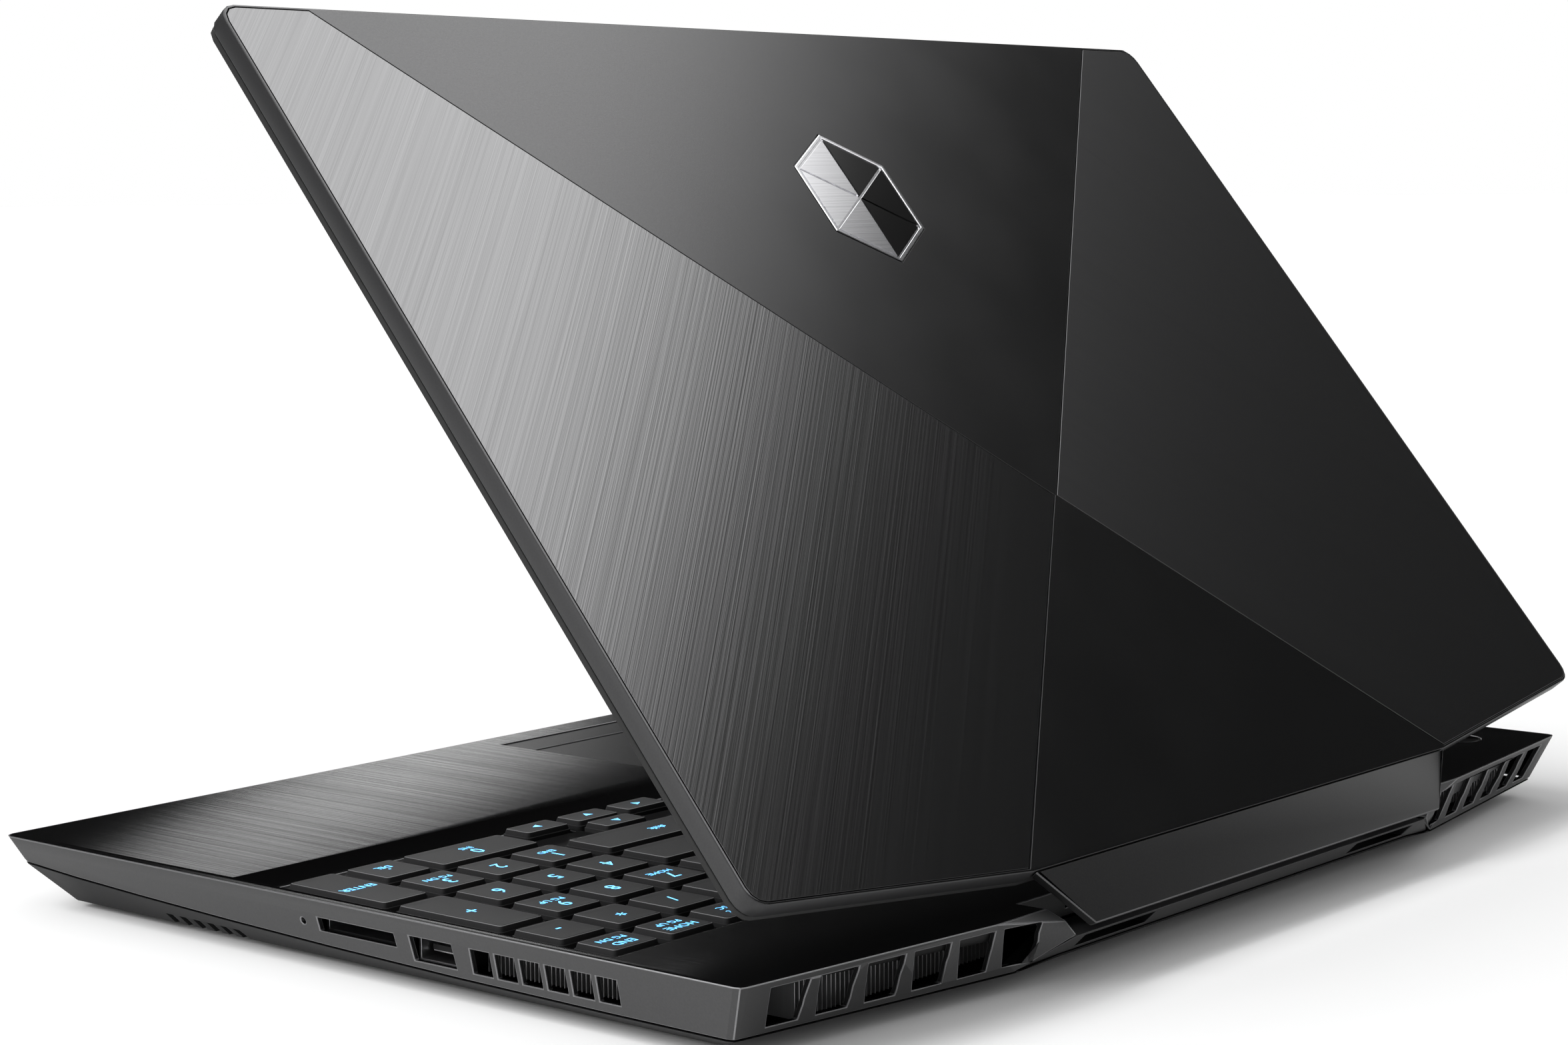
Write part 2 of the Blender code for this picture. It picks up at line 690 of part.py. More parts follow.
def build_cooling():
    """Fans, fins and heat pipes in the rear corners."""
    for side, name in ((-1, "left"), (1, "right")):
        x, y = side * FAN_X, FAN_Y
        shell = box((x - 31.0, y - 31.0, -13.4), (x + 31.0, y + 31.0, -6.9))
        housing = place(f"fan_housing_{name}", shell, "dark_metal")
        boolean(housing, cylinder((x, y, -10.0), FAN_RADIUS + 1.2, 5.2, "Z", 40))
        boolean(housing, cylinder((x, y, -13.4), 21.0, 4.0, "Z", 32))
        boolean(housing, box((x - 24.0, y + 10.0, -12.4), (x + 24.0, y + 40.0, -7.9)))
        outer = x + side * 40.0
        low, high = sorted((x, outer))
        boolean(housing, box((low, y - 22.0, -12.4), (high, y + 20.0, -7.9)))
        build_rotor(f"fan_rotor_{name}", x, y)
        fins = box(*sorted_corners((side * 88.0, 222.6, -12.4), (side * 157.0, 230.0, -4.3)))
        sink = place(f"heatsink_{name}", fins, "dark_metal")
        side_fins = box(*sorted_corners((side * 157.5, 158.5, -11.0), (side * 165.0, 226.0, -5.6)))
        link = box(*sorted_corners((side * 150.0, 222.6, -11.0), (side * 165.0, 229.0, -5.6)))
        boolean(sink, side_fins, "UNION")
        boolean(sink, link, "UNION")
        grooves = []
        for i in range(16):
            at = side * (91.0 + 4.0 * i)
            grooves.append(((at - 0.9, 220.0, -11.7), (at + 0.9, 240.0, -5.6)))
        boolean(sink, boxes(grooves))
        grooves = []
        for i in range(10):
            at = 162.0 + 5.0 * i
            grooves.append(sorted_corners((side * 150.0, at - 1.1, -10.4), (side * 180.0, at + 1.1, -5.6)))
        boolean(sink, boxes(grooves))
    build_heat_pipes()


def sorted_corners(first, second):
    """The low and the high corner of a box, whichever side of the centre line it is on."""
    low = tuple(min(a, b) for a, b in zip(first, second))
    high = tuple(max(a, b) for a, b in zip(first, second))
    return low, high


def build_rotor(name, x, y):
    """A fan wheel: a hub cup and eleven curved-in blades that reach into it."""
    hub = cylinder((x, y, -10.2), 10.0, 4.2, "Z", 32)
    obj = place(name, hub, "plastic", (x, y, -10.2))
    blades = []
    for i in range(11):
        form = box((8.0, -0.5, -12.0), (FAN_RADIUS, 0.5, -8.6))
        for vertex in form.verts:
            if vertex.co.x > 12.0:
                vertex.co.y += 5.0
        turn = Matrix.Rotation(2 * math.pi * i / 11, 4, "Z")
        form.transform(Matrix.Translation((x, y, 0.0)) @ turn)
        blades.append(form)
    boolean(obj, merged(blades), "UNION")


def build_heat_pipes():
    """Two copper pipes over a cold plate, flattened where they cross the processor."""
    plate = box((-48.0, 150.0, -7.2), (48.0, 186.0, -6.5))
    obj = place("heat_pipes", plate, "copper")
    route = [(-150.0, 218.4), (-100.0, 218.4), (-70.0, 214.0), (-45.0, 185.0), (-20.0, 168.0)]
    route += [(-x, y) for x, y in reversed(route)]
    curve = bpy.data.curves.new("pipe", "CURVE")
    curve.dimensions = "3D"
    curve.bevel_depth = 1.1
    curve.bevel_resolution = 2
    curve.use_fill_caps = True
    spline = curve.splines.new("POLY")
    spline.points.add(len(route) - 1)
    for point, (x, y) in zip(spline.points, route):
        point.co = (x, y, 0.0, 1.0)
    drawn = bpy.data.objects.new("pipe", curve)
    bpy.context.scene.collection.objects.link(drawn)
    mesh = bpy.data.meshes.new_from_object(drawn.evaluated_get(bpy.context.evaluated_depsgraph_get()))
    form = bmesh.new()
    form.from_mesh(mesh)
    bmesh.ops.remove_doubles(form, verts=form.verts, dist=0.001)
    bpy.data.objects.remove(drawn)
    bpy.data.curves.remove(curve)
    bpy.data.meshes.remove(mesh)
    form.transform(Matrix.Translation((0.0, 0.0, -6.55)) @ Matrix.Diagonal((1.0, 1.0, 0.3, 1.0)))
    face_outwards(form)
    boolean(obj, form, "UNION")


def build_electronics():
    """Board, storage, battery, speakers and connectors inside the base."""
    outline = [(-150.0, 98.0), (148.0, 98.0), (148.0, 156.0), (88.0, 156.0), (88.0, 205.0)]
    outline += [(-88.0, 205.0), (-88.0, 156.0), (-150.0, 156.0)]
    motherboard = place("motherboard", outline_solid([outline], -9.1, -7.9), "board")
    processor = ((-25.0, 158.0, -8.5), (-5.0, 178.0, -7.5))
    graphics_processor = ((8.0, 155.0, -8.5), (34.0, 181.0, -7.5))
    memory_sockets = ((40.0, 104.0, -10.2), (110.0, 134.0, -8.5))
    boolean(motherboard, boxes([processor, graphics_processor, memory_sockets]), "UNION")
    place("storage_drive", box((-60.0, 104.0, -11.8), (20.0, 126.0, -9.5)), "board")
    place("battery", box((-92.0, 14.0, -13.6), (92.0, 88.0, -6.6)), "plastic")
    for side, name in ((-1, "left"), (1, "right")):
        low, high = sorted_corners((side * 104.0, 14.0, -13.6), (side * 158.0, 70.0, -5.2))
        speaker = place(f"speaker_{name}", box(low, high), "plastic")
        bevel(speaker, 1.2, 1)
    build_connectors()


def socket(name, low, high, mouth_low, mouth_high, tongue):
    """A connector shell, open towards the side of the case, with its contact tongue inside."""
    obj = place(name, box(low, high), "steel")
    boolean(obj, box(mouth_low, mouth_high))
    boolean(obj, box(*tongue), "UNION")
    return obj


def build_connectors():
    """Connectors behind the openings in the side bands."""
    socket(
        "usb_port_right",
        (158.0, 141.9, -10.2), (175.3, 155.5, -4.65),
        (160.5, 142.7, -9.6), (190.0, 154.7, -5.1),
        ((160.0, 143.6, -8.4), (172.5, 153.8, -6.7)),
    )
    card = place("card_reader", box((150.0, 111.6, -8.4), (174.8, 138.2, -4.65)), "steel")
    boolean(card, box((152.0, 112.6, -7.6), (190.0, 137.2, -5.0)))
    socket(
        "usb_port_left",
        (-175.3, 79.7, -9.7), (-159.0, 93.5, -4.65),
        (-190.0, 80.5, -9.3), (-161.5, 92.7, -5.0),
        ((-172.5, 81.4, -8.0), (-161.0, 91.8, -6.4)),
    )
    socket(
        "hdmi_port",
        (-175.3, 101.0, -9.9), (-161.0, 117.0, -4.65),
        (-190.0, 101.8, -9.4), (-163.5, 116.2, -5.1),
        ((-172.5, 103.5, -7.8), (-163.0, 114.5, -6.6)),
    )
    jack = place("ethernet_port", box((-174.4, 122.3, -11.3), (-159.0, 138.7, -4.65)), "plastic")
    boolean(jack, box((-190.0, 124.3, -10.9), (-162.0, 136.7, -5.0)))
    inlet = place("power_inlet", box((-175.0, 143.0, -11.1), (-160.0, 153.0, -4.65)), "plastic")
    boolean(inlet, cylinder((-176.0, 148.0, -7.9), 2.7, 24.0, "X", 20))
    boolean(inlet, cylinder((-168.0, 148.0, -7.9), 0.6, 10.0, "X", 12), "UNION")
    audio = place("audio_jack", box((-175.6, 60.6, -8.9), (-162.0, 67.4, -4.0)), "plastic")
    boolean(audio, cylinder((-176.0, 64.0, -6.4), 1.75, 22.0, "X", 16))


def build_feet():
    """Rubber strips on which the laptop stands."""
    for name, front, half_length in (("front_foot", 22.0, 120.0), ("rear_foot", 218.0, 130.0)):
        form = box((-half_length, front, -DECK_HEIGHT), (half_length, front + 7.0, BOTTOM_Z - GAP))
        obj = place(name, form, "rubber")
        bevel(obj, 0.6, 1, 60)


def build_hinges():
    """On each side a bracket on the base whose knuckle holds the pin of the arm on the lid."""
    for side, name in ((-1, "left"), (1, "right")):
        turn = math.atan2(HINGE_Z + 2.6, HINGE_Y - 238.0)
        start, end = side * 59.8, side * 66.0
        knuckle = cylinder(((start + end) / 2, HINGE_Y, HINGE_Z), 2.3, abs(end - start), "X", 24)
        bracket = place(f"hinge_bracket_{name}", knuckle, "steel")
        arm = box(*sorted_corners((start + side * 0.1, -12.6, -0.65), (end - side * 0.1, -0.5, 0.65)))
        shift = Matrix.Translation((0.0, HINGE_Y, HINGE_Z))
        arm.transform(shift @ Matrix.Rotation(turn, 4, "X"))
        boolean(bracket, arm, "UNION")
        leaf = box(*sorted_corners((side * 59.9, 212.0, -3.9), (side * 65.9, 238.6, -2.5)))
        boolean(bracket, leaf, "UNION")
        bore = cylinder(((start + end) / 2, HINGE_Y, HINGE_Z), 1.62, 20.0, "X", 24)
        boolean(bracket, bore)
        lobe_end = side * 73.0
        lobe_start = end + side * GAP
        lobe_middle = ((lobe_start + lobe_end) / 2, HINGE_Y, HINGE_Z)
        lobe = cylinder(lobe_middle, 2.3, abs(lobe_end - lobe_start), "X", 24)
        lid_arm = lid_piece(f"hinge_arm_{name}", lobe, "steel")
        pin_middle = ((side * 59.0 + lobe_end) / 2, HINGE_Y, HINGE_Z)
        pin = cylinder(pin_middle, 1.3, abs(lobe_end - side * 59.0) - 0.5, "X", 24)
        boolean(lid_arm, pin, "UNION")
        near, far = lobe_start + side * 0.2, lobe_end - side * 0.2
        leaf = box(*sorted_corners((near, 214.0, 2.9), (far, 247.0, 4.1)))
        boolean(lid_arm, leaf, "UNION")


def lid_outline(inset=0.0):
    """The lid's outline from its front left corner, drawn in by an inset."""
    half = HALF - inset
    front = LID_FRONT_Y + inset
    rear = LID_REAR_Y - inset
    side_rear = LID_SIDE_REAR_Y - inset * 0.95
    line_x = STRIP_TOP_X
    sharp = [(-half, front), (half, front), (half, side_rear), (line_x, rear), (-line_x, rear)]
    return sharp + [(-half, side_rear)]


def corner_outline(inset=0.0, steps=4):
    """The lid's outline with its four outer corners rounded."""
    sharp = lid_outline(inset)
    soft = rounded(sharp, LID_CORNER - min(inset, LID_CORNER - 1.0), steps)
    per = steps + 1
    made = soft[: 3 * per]
    made += [sharp[3], sharp[4]]
    made += soft[5 * per :]
    return made


def panel_outline(side, inset):
    """The brushed area on one side of the lid, between the rim and the two crossing lines."""
    rim = RIM_WIDTH + inset
    half = HALF - rim
    front = LID_FRONT_Y + rim
    slope = (PANEL_CROSS_Y - LID_FRONT_Y) / PANEL_LINE_X
    tip = inset * 1.45
    diagonal = (LID_REAR_Y - LID_SIDE_REAR_Y) / (HALF - STRIP_TOP_X)
    front_x = (PANEL_CROSS_Y - front) / slope + tip
    rear_limit = LID_REAR_Y - rim
    rear_x = STRIP_TOP_X + 0.6 + tip
    points = [(tip, PANEL_CROSS_Y), (front_x, front), (half, front)]
    points += [(half, LID_REAR_Y - rim - diagonal * (half - STRIP_TOP_X)), (rear_x, rear_limit - 0.1)]
    made = [points[0], points[1]]
    made += rounded(points, LID_CORNER - rim, 3)[8:16]
    made.append(points[4])
    return [(side * x, y) for x, y in made]


def build_lid():
    """Lid cover, side panels, badge, strip over the hinge, screen and its frame."""
    cover = lid_piece("lid_cover", outline_solid([corner_outline()], LID_RIM_Z, LID_TOP_Z), "metal")
    bevel(cover, 0.35, 2, 50)
    boolean(cover, outline_solid([corner_outline(SHELL, 2)], LID_RIM_Z - 3.0, LID_TOP_Z - LID_SKIN))
    pockets = []
    for side in (-1, 1):
        outline = panel_outline(side, POCKET_INSET)
        pockets.append(outline_solid([outline], LID_TOP_Z - 1.0, LID_TOP_Z + 2.0))
    boolean(cover, merged(pockets))
    slots = []
    for side in (-1, 1):
        slots.append(sorted_corners((side * 65.8, 236.0, 1.0), (side * 73.6, 245.0, 4.6)))
    boolean(cover, boxes(slots))
    badge_hole = cylinder((0.0, BADGE_Y, LID_TOP_Z), BADGE_RADIUS + 0.3, 1.4, "Z", 6)
    boolean(cover, badge_hole)
    for side, name in ((-1, "left"), (1, "right")):
        panel = outline_solid([panel_outline(side, POCKET_INSET + GAP)], LID_TOP_Z - 0.7, LID_TOP_Z)
        lid_piece(f"lid_panel_{name}", panel, "metal")
    hexagon = cylinder((0.0, BADGE_Y, LID_TOP_Z - 0.1), BADGE_RADIUS, 0.6, "Z", 6)
    badge = lid_piece("lid_badge", hexagon, "badge")
    bevel(badge, 0.15, 1)
    build_strip()
    build_screen()


def build_strip():
    """The cover over the hinge, which slopes down behind the lid and carries the hinge barrel."""
    run = STRIP_END_Y - LID_REAR_Y
    fall = LID_TOP_Z - STRIP_END_Z
    length = math.hypot(run, fall)
    outline = [(-STRIP_TOP_X, 0.0), (STRIP_TOP_X, 0.0)]
    outline += [(STRIP_END_X, length), (-STRIP_END_X, length)]
    form = outline_solid([outline], -2.2, 0.0)
    tilt = Matrix.Rotation(-math.atan2(fall, run), 4, "X")
    form.transform(Matrix.Translation((0.0, LID_REAR_Y, LID_TOP_Z)) @ tilt)
    strip = lid_piece("hinge_strip", form, "metal")
    bevel(strip, 0.35, 2, 40)
    boolean(strip, box((-100.0, LID_REAR_Y - 5.0, 0.0), (100.0, LID_REAR_Y + GAP, 10.0)))
    boolean(strip, cylinder((0.0, HINGE_Y, HINGE_Z), 2.85, 112.0, "X", 24), "UNION")
    pockets = []
    for side in (-1, 1):
        pockets.append(cylinder((side * 66.2, HINGE_Y, HINGE_Z), 2.62, 15.2, "X", 24))
    boolean(strip, merged(pockets))
    wells = [box(*sorted_corners((s * 58.6, 236.0, -1.0), (s * 73.8, HINGE_Y, 4.75))) for s in (-1, 1)]
    boolean(strip, merged(wells))


def build_screen():
    """Bezel with its window, seal, panel and camera, on the inner side of the lid."""
    bezel = outline_solid([corner_outline(2.0, 2), rectangle(WINDOW)], 0.8, 1.9)
    frame = lid_piece("screen_bezel", bezel, "plastic")
    lens_hole = cylinder((0.0, 5.6, 1.3), 1.9, 4.0, "Z", 16)
    boolean(frame, lens_hole)
    seal = outline_solid([corner_outline(0.3, 3), corner_outline(1.6, 3)], 0.4, 1.9)
    lid_piece("screen_seal", seal, "rubber")
    left, front, right, rear = WINDOW
    panel = box((left - 3.0, front - 3.0, 2.2), (right + 3.0, rear + 5.0, 4.7))
    lid_piece("display_panel", panel, "screen")
    camera = cylinder((0.0, 5.6, 2.2), 1.55, 2.2, "Z", 16)
    lens = lid_piece("camera_module", camera, "screen")
    boolean(lens, box((-9.0, 2.6, 2.3), (9.0, 8.6, 4.4)), "UNION")


for leftover in list(bpy.data.objects):
    bpy.data.objects.remove(leftover)

PARTS = collection("laptop_computer")
CUTTERS = collection("cutters")
CUTTERS.hide_render = True
LID_PIVOT = bpy.data.objects.new("lid_pivot", None)
PARTS.objects.link(LID_PIVOT)
LID_PIVOT.location = world((0.0, HINGE_Y, HINGE_Z))
LID_PIVOT.rotation_euler = (-OPEN_AT_REST, 0.0, 0.0)

build_top_case()
build_bottom_cover()
build_rear_block()
build_keyboard_frame()
build_keys()
build_touchpad()
build_power_button()
build_cooling()
build_electronics()
build_feet()
build_hinges()
build_lid()
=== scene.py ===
"""Looks of the laptop computer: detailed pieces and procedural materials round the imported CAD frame.

Design places are millimetres from the middle of the deck's front edge: x to the user's right, y to
the rear, z up from the deck. Lid pieces are drawn with the lid closed and then turned to the rest pose.
"""

import json
import math

import bmesh
import bpy
from mathutils import Matrix, Vector


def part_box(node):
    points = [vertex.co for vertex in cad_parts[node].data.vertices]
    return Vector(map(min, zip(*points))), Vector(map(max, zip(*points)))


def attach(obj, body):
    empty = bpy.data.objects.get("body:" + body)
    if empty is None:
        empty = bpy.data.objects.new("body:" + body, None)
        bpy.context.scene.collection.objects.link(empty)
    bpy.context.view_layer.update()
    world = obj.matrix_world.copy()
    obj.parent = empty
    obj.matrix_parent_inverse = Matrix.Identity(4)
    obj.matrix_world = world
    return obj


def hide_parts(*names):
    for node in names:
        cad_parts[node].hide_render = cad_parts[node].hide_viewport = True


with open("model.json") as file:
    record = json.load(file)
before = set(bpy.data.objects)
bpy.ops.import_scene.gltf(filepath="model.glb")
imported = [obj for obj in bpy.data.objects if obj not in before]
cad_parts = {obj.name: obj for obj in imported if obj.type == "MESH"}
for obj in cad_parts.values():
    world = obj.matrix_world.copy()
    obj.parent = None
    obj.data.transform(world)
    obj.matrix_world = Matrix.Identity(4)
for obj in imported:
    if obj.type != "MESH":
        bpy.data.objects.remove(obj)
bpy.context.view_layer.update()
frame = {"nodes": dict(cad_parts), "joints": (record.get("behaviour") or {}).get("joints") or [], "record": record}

MM = 0.001
LID_OPEN = math.radians(49.94)
DECK_LOW, DECK_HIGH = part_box("top_case")
LID_JOINT = next(joint for joint in frame["joints"] if joint["child"] == "lid")
HINGE = Vector(LID_JOINT["pos_m"])
BODY_OF = {
    node: body for body, nodes in frame["record"]["behaviour"]["bodies"].items() for node in nodes
}

# Screws of the bottom cover, as design x and y, and the profile of a head as radius and height.
SCREWS = [(-160, 20), (0, 18), (160, 20), (-160, 130), (160, 130), (-150, 222), (0, 222), (150, 222)]
SCREW_RINGS = ((2.6, -16.15), (2.6, -16.35), (2.35, -16.5), (0.9, -16.5), (0.7, -16.2))
SCREW_SIDES = 24
CROSS_WAIST = 0.55

# A keycap in millimetres. Its foot is given as growth beyond the key's top, design height and corner
# radius, and each ring above it as growth, depth below the top and corner radius.
KEYCAP_FOOT = (0.65, -3.0, 1.1)
KEYCAP_RINGS = (
    (0.62, 1.35, 1.1), (0.36, 1.25, 1.0), (0.1, 0.3, 0.9), (-0.02, 0.1, 0.8), (-0.22, 0.0, 0.7),
    (-0.75, 0.01, 0.5), (-2.4, 0.07, 0.3),
)
# The rim rings, whose faces take the lighter grey of a painted highlight.
KEYCAP_RIM = (4, 5)
CORNER_STEPS = 3

# Legend heights in millimetres: a single sign, a word, a second line, and the step between lines.
SIGN_SIZE = 6.0
WORD_SIZE = 3.4
SECOND_SIZE = 2.8
LINE_STEP = 3.8

# Fins in millimetres behind the side and the rear vents: how many, their pitch, the first one's
# place, and what each spans across the row and in height.
SIDE_FINS, SIDE_PITCH, SIDE_FIRST_Y = 52, 1.25, 158.9
SIDE_FIN_X, SIDE_FIN_Z = (158.0, 171.0), (-11.0, -5.6)
REAR_FINS, REAR_PITCH, REAR_FIRST_X = 46, 1.5, 89.0
REAR_FIN_Y, REAR_FIN_Z = (222.8, 232.6), (-12.3, -4.4)
FIN_THICKNESS = 0.25

# The upper case's outer walls in design millimetres: what lies beyond these is wall, and not inside.
WALL_SIDE_X, WALL_REAR_Y, WALL_FRONT_Y = 174.0, 242.0, 8.0

CONTACTS = 5
COVER_EDGE = 0.02  # metres from the lid's outline within which a wall is outer and not a pocket's
ROUNDED_ABOVE = 30.0  # degrees between two faces above which their edge is rounded

# A noise texture's values lie mostly between these. Bumps of hairs and of grain are in metres.
NOISE_LOW, NOISE_HIGH = 0.3, 0.7
HAIR_DEPTH = 0.0001
GRAIN_DEPTH = 0.00004
GRAIN_SPREAD = 0.12

# Hairs of brushed metal: number per metre along and across the brushing, and share.
COARSE_HAIR = ((3.0, 450.0, 0.35), (5.0, 1500.0, 0.35), (9.0, 4200.0, 0.3))
FINE_HAIR = ((3.0, 450.0, 0.15), (5.0, 1500.0, 0.4), (9.0, 4200.0, 0.45))
DECK_HAIR = ((4.0, 900.0, 0.2), (5.0, 1900.0, 0.5), (9.0, 4200.0, 0.3))

# The camera: place in design millimetres, angles in degrees, lens and sensor in millimetres, and
# shifts as shares of the sensor's width.
CAMERA_PLACE = (628.2, 618.5, 155.8)
CAMERA_AZIMUTH, CAMERA_ELEVATION, CAMERA_ROLL = 130.291, 9.732, -0.492
CAMERA_LENS, CAMERA_SENSOR = 70.55, 36.0
CAMERA_SHIFT = (0.0279, 0.1224)

# The surround as gloss sees it: a dark base, then glows as azimuth, elevation, inner and outer edge
# in degrees, and strength.
SURROUND_GLOSS = 0.04
SURROUND_GLOWS = [(180.0, 90.0, 46.0, 54.2, 2.9), (226.6, 9.0, 0.5, 4.6, 8.5)]
SURROUND_DIFFUSE = 0.6

# The lamps: the wide one's direction, width in degrees and power, and the side one's design place and
# target in millimetres, size in metres and power.
SUN_FROM = (0.62, -0.5, 0.65)
SUN_WIDTH = 50.0
SUN_POWER = 2.7
SIDE_PLACE, SIDE_TARGET = (390.0, 150.0, 70.0), (180.0, 205.0, -6.0)
SIDE_SIZE = (0.2, 0.12)
SIDE_POWER = 0.17
FLOOR_RADIUS = 40.0


def at(x, y, z):
    """The frame's place of a design point in millimetres."""
    return Vector((x * MM, DECK_LOW.y + y * MM, DECK_HIGH.z + z * MM))


def lid_turn():
    """The turn that takes a piece drawn on the closed lid to the rest pose."""
    turn = Matrix.Rotation(-LID_OPEN, 4, "X")
    return Matrix.Translation(HINGE) @ turn @ Matrix.Translation(-HINGE)


# --- Materials ---------------------------------------------------------------------------------


def new_material(name, colour, roughness, metallic=0.0):
    """A Principled material, its node tree and its shader."""
    made = bpy.data.materials.new(name)
    made.use_nodes = True
    shader = made.node_tree.nodes["Principled BSDF"]
    shader.inputs["Base Color"].default_value = (*colour, 1.0)
    shader.inputs["Roughness"].default_value = roughness
    shader.inputs["Metallic"].default_value = metallic
    return made, made.node_tree, shader


def node(tree, kind, **values):
    """A node of a kind, with its properties and its inputs set by name."""
    made = tree.nodes.new(kind)
    for name, value in values.items():
        if name in made.inputs:
            made.inputs[name].default_value = value
        else:
            setattr(made, name, value)
    return made


def place_texture(tree, scale, turn=(0.0, 0.0, 0.0)):
    """Object coordinates turned and scaled for a texture."""
    source = node(tree, "ShaderNodeTexCoord")
    mapping = node(tree, "ShaderNodeMapping", vector_type="TEXTURE")
    mapping.inputs["Rotation"].default_value = turn
    mapping.inputs["Scale"].default_value = [1.0 / s for s in scale]
    tree.links.new(source.outputs["Object"], mapping.inputs["Vector"])
    return mapping.outputs["Vector"]


def noise(tree, vector, detail, roughness=0.55):
    """A noise texture's value over a place."""
    made = node(tree, "ShaderNodeTexNoise", Scale=1.0, Detail=detail, Roughness=roughness)
    tree.links.new(vector, made.inputs["Vector"])
    return made.outputs["Fac"]


def remap(tree, value, low, high):
    """A noise texture's value, spread from low to high."""
    made = node(tree, "ShaderNodeMapRange")
    made.inputs["From Min"].default_value = NOISE_LOW
    made.inputs["From Max"].default_value = NOISE_HIGH
    made.inputs["To Min"].default_value = low
    made.inputs["To Max"].default_value = high
    tree.links.new(value, made.inputs["Value"])
    return made.outputs["Result"]


def shade(tree, shader, colour, value, low, high):
    """Base colour times a factor that runs from low to high with a texture."""
    factor = remap(tree, value, low, high)
    made = node(tree, "ShaderNodeVectorMath", operation="SCALE")
    made.inputs[0].default_value = colour
    tree.links.new(factor, made.inputs["Scale"])
    tree.links.new(made.outputs["Vector"], shader.inputs["Base Color"])


def bump(tree, shader, value, strength, distance):
    """A bump from a texture's value."""
    made = node(tree, "ShaderNodeBump", Strength=strength, Distance=distance)
    tree.links.new(value, made.inputs["Height"])
    tree.links.new(made.outputs["Normal"], shader.inputs["Normal"])


def brushed(
    name, colour, roughness, turn, contrast=0.14, relief=0.3, metallic=1.0, hair=COARSE_HAIR, spread=0.03
):
    """Hairline metal, brushed along local X after a turn, in bands of ever finer hairs."""
    made, tree, shader = new_material(name, colour, roughness, metallic)
    total = None
    for along, across, share in hair:
        lines = noise(tree, place_texture(tree, (along, across, across), turn), 3.0, 0.6)
        step = node(tree, "ShaderNodeMath", operation="MULTIPLY_ADD")
        step.inputs[1].default_value = share
        step.inputs[2].default_value = 0.0
        tree.links.new(lines, step.inputs[0])
        if total is not None:
            tree.links.new(total, step.inputs[2])
            coarse = total
        total = step.outputs[0]
    shade(tree, shader, colour, total, 1.0 - contrast, 1.0 + contrast)
    tree.links.new(
        remap(tree, total, roughness + spread, roughness - spread), shader.inputs["Roughness"]
    )
    bump(tree, shader, coarse, relief, HAIR_DEPTH)
    return made


def grained(name, colour, roughness, grain, relief, metallic=0.0):
    """Moulded or painted surface with a fine grain and slow changes of tone."""
    made, tree, shader = new_material(name, colour, roughness, metallic)
    fine = noise(tree, place_texture(tree, (grain,) * 3), 2.0, 0.6)
    slow = noise(tree, place_texture(tree, (28.0,) * 3), 2.0, 0.5)
    both = node(tree, "ShaderNodeMath", operation="MULTIPLY_ADD")
    both.inputs[1].default_value = 0.25
    tree.links.new(slow, both.inputs[0])
    scaled = node(tree, "ShaderNodeMath", operation="MULTIPLY")
    scaled.inputs[1].default_value = 0.75
    tree.links.new(fine, scaled.inputs[0])
    tree.links.new(scaled.outputs[0], both.inputs[2])
    shade(tree, shader, colour, both.outputs[0], 1.0 - GRAIN_SPREAD, 1.0 + GRAIN_SPREAD)
    tree.links.new(
        remap(tree, slow, roughness - 0.01, roughness + 0.01), shader.inputs["Roughness"]
    )
    bump(tree, shader, fine, relief, GRAIN_DEPTH)
    return made


def glowing(name, colour, strength):
    """Back-lit legend, a little uneven in brightness."""
    made, tree, shader = new_material(name, colour, 0.5)
    uneven = noise(tree, place_texture(tree, (160.0,) * 3), 1.0)
    tree.links.new(
        remap(tree, uneven, strength * 0.85, strength * 1.15), shader.inputs["Emission Strength"]
    )
    shader.inputs["Emission Color"].default_value = (*colour, 1.0)
    return made


def panel_turn(dx, dy):
    """Texture turn for hairlines that run along (dx, dy) on the closed lid, seen at the rest pose."""
    along = Vector((dx, dy, 0.0)).normalized()
    up = Vector((0.0, 0.0, 1.0))
    frame_axes = Matrix((along, up.cross(along), up)).transposed()
    return (Matrix.Rotation(-LID_OPEN, 3, "X") @ frame_axes).to_euler()


